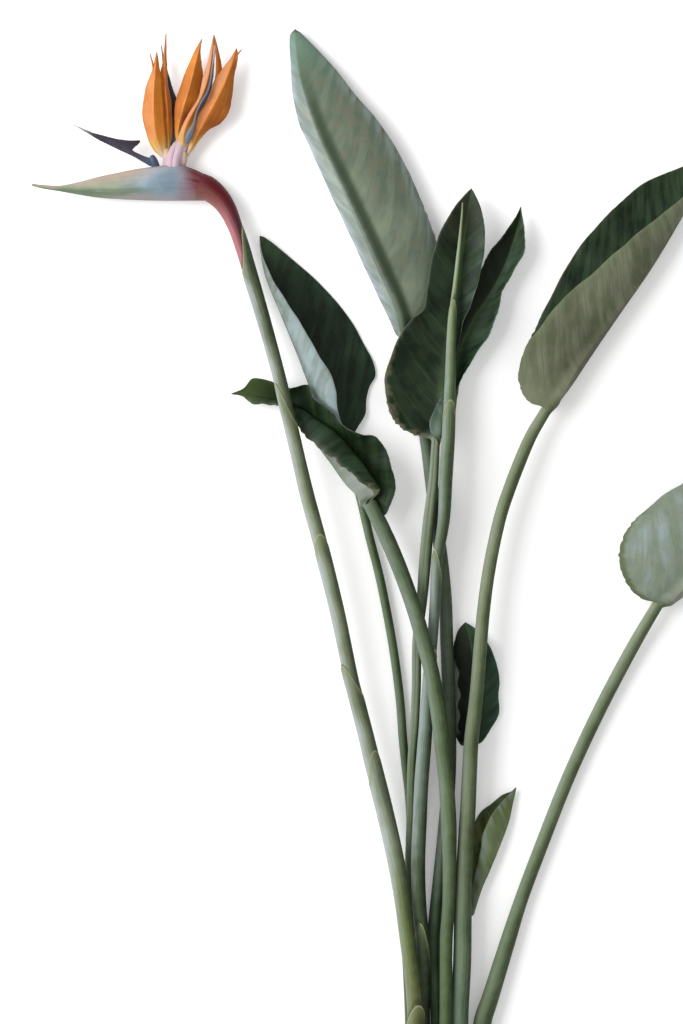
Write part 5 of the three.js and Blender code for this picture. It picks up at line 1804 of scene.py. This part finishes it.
@dataclass(frozen=True)
class CutEnds:
    """The strands that show on the cut faces, strewn over them by a tree of geometry nodes."""

    stems: tuple[Rows, ...]
    finish: CutFinish
    density: float = 900000.0  # strands to a square metre
    dot: float = 0.34  # radius of a strand, in mm
    seed: int = 7

    SIDES = 28
    INSET = 0.86  # radius of the strewn disc in stem radii
    APART = 0.0009  # least distance between two strands, in metres
    SIZES = {"Min_001": 0.5, "Max_001": 1.1}  # how much the strands differ in size
    FLATTENED = (1.0, 1.0, 0.3)

    def faces(self) -> Piece:
        """Makes a flat face on each cut end for the strands to lie on.

        Returns:
            An object with the faces, for the time being.
        """
        spots: list[tuple[float, ...]] = []
        faces: list[tuple[int, ...]] = []
        turns = np.arange(self.SIDES) * math.tau / self.SIDES
        for rows in self.stems:
            at = Stem(rows).stations(np.array([CUT_SHARE]))
            faces.append(tuple(range(len(spots) + self.SIDES - 1, len(spots) - 1, -1)))
            spots += [tuple(point) for point in at.rings(turns, at.radius * self.INSET)[0]]
        mesh = bpy.data.meshes.new("cut_faces")
        mesh.from_pydata(spots, [], faces)
        return link("cut_faces", mesh)

    def tree(self) -> Tree:
        """Builds the tree that strews the strands.

        Returns:
            The tree, with inputs for the density, the dot and the material.
        """
        takes = {"Faces": "Geometry", "Density": 0.0, "Dot": 0.0, "Finish": "Material"}
        w = Group("strew_strands", takes, ("Strands",), Kind.GEOMETRY)
        spots = {"Mesh": w.inlet["Faces"], "Density Max": w.inlet["Density"]}
        spots |= {"Distance Min": self.APART, "Seed": self.seed}
        strewn = w.node("GeometryNodeDistributePointsOnFaces", spots, distribute_method="POISSON").outputs
        sizes = {"Seed": self.seed, **self.SIZES}
        scale = w.value("FunctionNodeRandomValue", sizes, "Value_001", data_type="FLOAT")
        ball = w.value("GeometryNodeMeshIcoSphere", {"Radius": w.inlet["Dot"], "Subdivisions": 2}, "Mesh")
        flat = w.value("GeometryNodeTransform", {"Geometry": ball, "Scale": self.FLATTENED})
        dots = {name: strewn[name] for name in ("Points", "Rotation")} | {"Instance": flat, "Scale": scale}
        placed = w.value("GeometryNodeInstanceOnPoints", dots)
        real = w.value("GeometryNodeRealizeInstances", {"Geometry": placed})
        dressed = {"Geometry": real, "Material": w.inlet["Finish"]}
        return w.give(Strands=w.value("GeometryNodeSetMaterial", dressed))

    def build(self) -> None:
        """Builds the strands as one plain mesh."""
        base, tree = self.faces(), self.tree()
        strew = base.modifiers.new("strew", "NODES")
        strew.node_group = tree
        values = {"Density": self.density, "Dot": self.dot * MM, "Finish": self.finish.paint()}
        for item in tree.interface.items_tree:
            if item.name in values:
                strew[item.identifier] = values[item.name]
        bpy.context.view_layer.update()
        graph = bpy.context.evaluated_depsgraph_get()
        mesh = bpy.data.meshes.new_from_object(base.evaluated_get(graph))
        bpy.data.objects.remove(base)
        mesh.polygons.foreach_set("use_smooth", [True] * len(mesh.polygons))
        settle(link("cut_strands", mesh), "flower_stalk")


# ---- studio ----


@dataclass(frozen=True)
class Studio:
    """A pale floor, soft light from the left and a camera that looks straight down."""

    middle: tuple[float, float] = (-0.0525, 0.0445)
    height: float = 5.12
    lens: float = 180.0
    floor_side: float = 14.0
    floor_level: float = -0.0004  # a hair under the fan
    floor_glow: float = 0.22
    sky: float = 0.55

    LAMPS = (("key", (-2.5, 0.8, 2.1), 135.0), ("fill", (1.6, -1.8, 3.0), 10.0))  # place and watts
    LAMP_SIDE = 2.6
    SENSOR = 36.0
    FAR = 50.0  # how far the camera sees, in metres
    WHITE = (1.0, 1.0, 1.0, 1.0)

    def build(self) -> None:
        """Builds the studio."""
        self.floor()
        self.lights()
        self.camera()

    def floor(self) -> None:
        """Lays the floor."""
        half = self.floor_side / 2
        signs = ((-1, -1), (1, -1), (1, 1), (-1, 1))
        mesh = bpy.data.meshes.new("floor")
        mesh.from_pydata([(x * half, y * half, self.floor_level) for x, y in signs], [], [(0, 1, 2, 3)])
        w = Paint("pale_floor")
        grain = w.noise(w.place, 3.0, 2.0)
        colour = w.mix(grain, (0.90, 0.90, 0.895), (0.915, 0.915, 0.915))
        w.shader.inputs["Emission Color"].default_value = self.WHITE
        constants = {"Specular_IOR_Level": 0.1, "Emission_Strength": self.floor_glow}
        mesh.materials.append(w.finish(colour, 0.9, grain, 0.01, **constants))
        link("floor", mesh)

    def lights(self) -> None:
        """Hangs the lights and sets the sky."""
        for name, where, power in self.LAMPS:
            lamp = bpy.data.lights.new(name, "AREA")
            lamp.size, lamp.energy = self.LAMP_SIDE, power
            piece = link(name, lamp)
            piece.location = where
            piece.rotation_mode = "QUATERNION"
            piece.rotation_quaternion = Vector(-np.array(where)).to_track_quat("-Z", "Y")
        world = bpy.data.worlds.new("studio")
        world.use_nodes = True
        sky = world.node_tree.nodes["Background"].inputs
        sky["Color"].default_value, sky["Strength"].default_value = self.WHITE, self.sky
        bpy.context.scene.world = world
        bpy.context.scene.view_settings.view_transform = "Standard"

    def camera(self) -> None:
        """Sets the camera over the sheet."""
        camera = bpy.data.cameras.new("camera")
        camera.lens, camera.sensor_width, camera.clip_end = self.lens, self.SENSOR, self.FAR
        piece = link("camera", camera)
        piece.location = (*self.middle, self.height)
        bpy.context.scene.camera = piece


# ---- the fan ----


FLOWER_GREENS: Stops = (
    (-0.46, (0.085, 0.095, 0.022)), (-0.37, (0.10, 0.13, 0.04)), (-0.24, (0.20, 0.23, 0.18)),
    (-0.14, (0.14, 0.165, 0.10)), (0.02, (0.18, 0.21, 0.135)), (0.26, (0.085, 0.105, 0.06)),
)
BUD_GREENS: Stops = (
    (-0.46, (0.04, 0.06, 0.028)), (-0.33, (0.05, 0.075, 0.035)), (-0.2, (0.11, 0.15, 0.12)),
    (-0.05, (0.12, 0.16, 0.13)), (0.02, (0.075, 0.11, 0.06)), (0.15, (0.085, 0.13, 0.06)),
    (0.27, (0.18, 0.225, 0.11)),
)


def leaves() -> list[Leaf]:
    """Lists the leaves with their finishes.

    Returns:
        The leaves, each with its own seed.
    """
    tall = LeafFinish(
        "leaf_tall", vein_gap=4.5, shine=0.25, second_half_light=(1.55, 1.5, 1.9), rib_shadow=(0.85, -13.0),
        tip=(0.095, 0.175, 0.125), tip_show=0.75, margin_show=0.2,
        back=replace(
            PALE, light=(0.19, 0.225, 0.155), deep=(0.105, 0.14, 0.10), blotch=(0.15, 0.15, 0.10),
            rib=(0.060, 0.085, 0.05), hem_show=0.9, hem_reach=16,
        ),
        stem=((-0.5, (0.055, 0.10, 0.045)), (-0.2, (0.07, 0.10, 0.06)), (0.2, (0.075, 0.105, 0.065))),
    )
    dark = LeafFinish(
        "leaf_dark", face=replace(DARK, mains=0.22), scorch=8.0, margin_show=0.2, vein_gap=4.6,
        second_half_light=(1.3, 1.5, 1.6), tip=(0.04, 0.03, 0.014), tip_show=0.4,
    )
    narrow = LeafFinish(
        "leaf_narrow", first_half_light=(0.5, 0.45, 0.45), second_half_light=(1.4, 1.5, 1.6), foot_show=0.1,
        margin_show=0.3,
    )
    right = LeafFinish(
        "leaf_right", scorch=2.5, scorch_tone=(0.06, 0.07, 0.03), shine=0.1,
        foot=(0.215, 0.235, 0.15), foot_show=0.6,
        face=replace(DARK, light=(0.026, 0.052, 0.024), hem=(0.022, 0.045, 0.018), hem_show=0.3),
        back=replace(
            PALE, light=(0.175, 0.19, 0.125), deep=(0.095, 0.108, 0.062), rib=(0.095, 0.082, 0.062),
            hem=(0.12, 0.16, 0.085), hem_reach=12, hem_show=0.8, mains=0.45, bands=0.7, lines=0.3,
        ),
        stem=((-0.5, (0.12, 0.18, 0.125)), (-0.25, (0.12, 0.15, 0.085)), (0.05, (0.155, 0.185, 0.11))),
    )
    rolled = LeafFinish(
        "leaf_rolled", vein_gap=3.0, scorch=8.0, scorch_end=0.16, scorch_tone=(0.16, 0.175, 0.10),
        shine=0.1, margin_show=0.15, foot=(0.26, 0.28, 0.23), foot_show=0.6,
        tip=(0.05, 0.075, 0.022), tip_show=0.9, face=replace(DARK, light=(0.018, 0.036, 0.013)),
        back=replace(
            PALE, light=(0.48, 0.51, 0.51), deep=(0.26, 0.29, 0.27), blotch=(0.28, 0.31, 0.25),
            # painted shadow along the margin of the back, under the rolled flap
            hem=(0.018, 0.034, 0.014), hem_show=1.0,
        ),
        stem=((-0.5, (0.06, 0.095, 0.035)), (-0.25, (0.085, 0.12, 0.06)), (0.05, (0.085, 0.115, 0.07))),
    )
    folded = LeafFinish(
        "leaf_folded", margin_show=0.15, foot_show=0.1,
        face=replace(
            DARK, light=(0.020, 0.043, 0.021), deep=(0.005, 0.012, 0.006), blotch=(0.010, 0.018, 0.009)
        ),
        back=replace(PALE, light=(0.29, 0.36, 0.37), deep=(0.18, 0.22, 0.20), rib=(0.15, 0.19, 0.15)),
        stem=((-0.5, (0.055, 0.085, 0.045)), (0.05, (0.085, 0.125, 0.06))),
    )
    far = LeafFinish(
        "leaf_far_right", vein_gap=5.0,
        margin=(0.085, 0.105, 0.045), margin_reach=9.0, margin_show=0.85,
        back=replace(
            PALE, light=(0.33, 0.41, 0.43), deep=(0.20, 0.245, 0.18), blotch=(0.23, 0.27, 0.20),
            rib=(0.24, 0.23, 0.20), hem=(0.11, 0.14, 0.07), hem_reach=20, lines=0.3, mains=0.3, bands=0.7,
        ),
        stem=((-0.5, (0.09, 0.125, 0.065)), (-0.15, (0.13, 0.165, 0.095)), (0.0, (0.175, 0.205, 0.125))),
    )
    small_dark = LeafFinish(
        "leaf_small_dark", back=replace(PALE, light=(0.17, 0.20, 0.17)), first_half_light=(0.4, 0.35, 0.3),
        second_half_light=(1.6, 1.9, 2.1), curl=4.5, foot_show=0.1,
    )
    small_olive = LeafFinish(
        "leaf_small_olive", face=replace(DARK, light=(0.15, 0.17, 0.05), deep=(0.05, 0.07, 0.018)),
        back=replace(PALE, light=(0.16, 0.205, 0.10), deep=(0.09, 0.125, 0.05), blotch=(0.13, 0.15, 0.04)),
    )
    made = (
        Leaf(tall, frill=0.0, calm=0.15, teeth=(Teeth(0.7, 0.12, 0.5), Teeth()), end=0.994),
        Leaf(dark, groove=0.4, teeth=(Teeth(1.9, 0.02, 0.3), Teeth())),
        Leaf(narrow),
        Leaf(right, teeth=(Teeth(1.2, 0.02, 0.3),) * 2),
        Leaf(rolled, frill=0.9),
        Leaf(folded, frill=0.1, calm=0.3),
        Leaf(far, frill=0.8, teeth=(Teeth(1.4, 0.03, 0.4),) * 2),
        Leaf(small_dark, frill=0.6),
        Leaf(small_olive, frill=0.1),
    )
    return [replace(leaf, seed=3 + 2 * index) for index, leaf in enumerate(made)]


def flower_parts() -> list[FlowerPart]:
    """Lists the parts of the flower with their finishes.

    Returns:
        The bract, the throat, the sepals, the tongues and the loose petal.
    """
    blush = PetalFinish(
        "throat", deep=(0.42, 0.25, 0.31), light=(0.58, 0.46, 0.51), dark=(0.4, 0.3, 0.3),
        blush=(0.6, 0.5, 0.5), root=(0.44, 0.27, 0.32), foot=(0.54, 0.45, 0.47), tip=(0.52, 0.40, 0.33),
        tip_starts=0.75,
    )
    orange = PetalFinish(
        "sepals", deep=(0.40, 0.105, 0.003), light=(0.60, 0.205, 0.014), dark=(0.24, 0.058, 0.002),
        blush=(0.53, 0.235, 0.12), root=(0.56, 0.46, 0.40), foot=(0.55, 0.33, 0.07), tip=(0.38, 0.12, 0.02),
        foot_ends=0.24,
    )
    navy = PetalFinish(
        "petals", deep=(0.014, 0.016, 0.038), light=(0.05, 0.057, 0.09), dark=(0.018, 0.012, 0.016),
        blush=(0.14, 0.16, 0.22), root=(0.10, 0.13, 0.19), foot=(0.15, 0.15, 0.15), tip=(0.36, 0.32, 0.34),
        gloss=0.36, glow=0.0, tip_starts=0.7, foot_ends=0.35,
    )
    loose = PetalFinish(
        "loose_petal", deep=(0.012, 0.010, 0.018), light=(0.055, 0.045, 0.07), dark=(0.02, 0.012, 0.018),
        blush=(0.10, 0.08, 0.11), root=(0.04, 0.07, 0.13), foot=(0.05, 0.07, 0.11), tip=(0.52, 0.44, 0.45),
        gloss=0.36, glow=0.0, tip_starts=0.74, foot_ends=0.25,
    )
    lips = {"edge": 2.2, "rows": 120, "columns": 18, "tip": 0.5, "wave": (0.25, 5.0)}
    thin = {"wave": (0.35, 4.0), "frill": 0.15, "rows": 70, "columns": 9}
    thick = thin | {"edge": 1.1}
    # painted shading of each sepal's two halves
    left = ((0.4, -0.1), (-0.35, -0.5))
    right = ((-0.1, -0.45), (0.9, -0.5), (-0.3, -0.3), (0.5, -0.6))
    left_feet = (Foot(LEFT_CLAW, 0.0, 0.1), Foot(LEFT_POINT, 0.8, 1.0))
    right_feet = (Foot(RIGHT_CLAW, 0.0, 0.1), Foot(RIGHT_POINT, 0.9, 1.0))
    foot = (Foot(PETAL_FOOT, 0.0, 0.08),)
    # each tongue's painted shading of its two halves, and how slim it is
    tongues = (("left", LEFT_TONGUE, (-0.9, -0.6), 1.0), ("right", RIGHT_TONGUE, (0.6, -0.4), 0.62))
    return [
        FlowerPart("spathe", "spathe", SpatheFinish("spathe"), lips, (SPATHE,), ((0.0, 0.0),)),
        FlowerPart("throat", "throat", blush, {}, feet=throat_feet()),
        FlowerPart("sepals_left_flower", "sepals", orange, thin, LEFT_SEPALS, left, left_feet),
        FlowerPart("sepals_right_flower", "sepals", orange, thin, RIGHT_SEPALS, right, right_feet),
        *(
            FlowerPart(f"tongue_{side}_flower", "petals", navy, thick | {"slim": slim}, (blade,), (tone,))
            for side, blade, tone, slim in tongues
        ),
        FlowerPart("loose_petal", "petals", loose, thick, (LOOSE_PETAL,), ((0.3, -0.4),), foot),
    ]


def main() -> None:
    """Builds the fan piece by piece, and the studio round it."""
    logging.basicConfig(level=logging.INFO, format="%(name)s: %(message)s")
    flesh = CutFinish("cut_face", (0.20, 0.25, 0.10), (0.42, 0.46, 0.26), 260.0, 0.3, dew=0.2, depth=0.15)
    strands = CutFinish("strands", (0.19, 0.15, 0.055), (0.30, 0.27, 0.12), scale=900.0, gloss=0.5)
    cut = flesh.paint()
    flower = StalkFinish("flower_stalk", FLOWER_GREENS, rosy=True, left_highlight=0.75)
    bud = StalkFinish("bud_stalk", BUD_GREENS)
    stalks = (Stalk(flower, FLOWER_STALK, FLOWER_SHEATHS), Stalk(bud, BUD_STALK, BUD_SHEATHS))
    for stem in (*leaves(), *stalks):
        stem.build(cut)
    stems = (*(shape["petiole"] for shape in LEAVES.values()), FLOWER_STALK, BUD_STALK)
    for piece in (*flower_parts(), CutEnds(stems, strands), Studio()):
        piece.build()


if __name__ == "__main__":
    main()
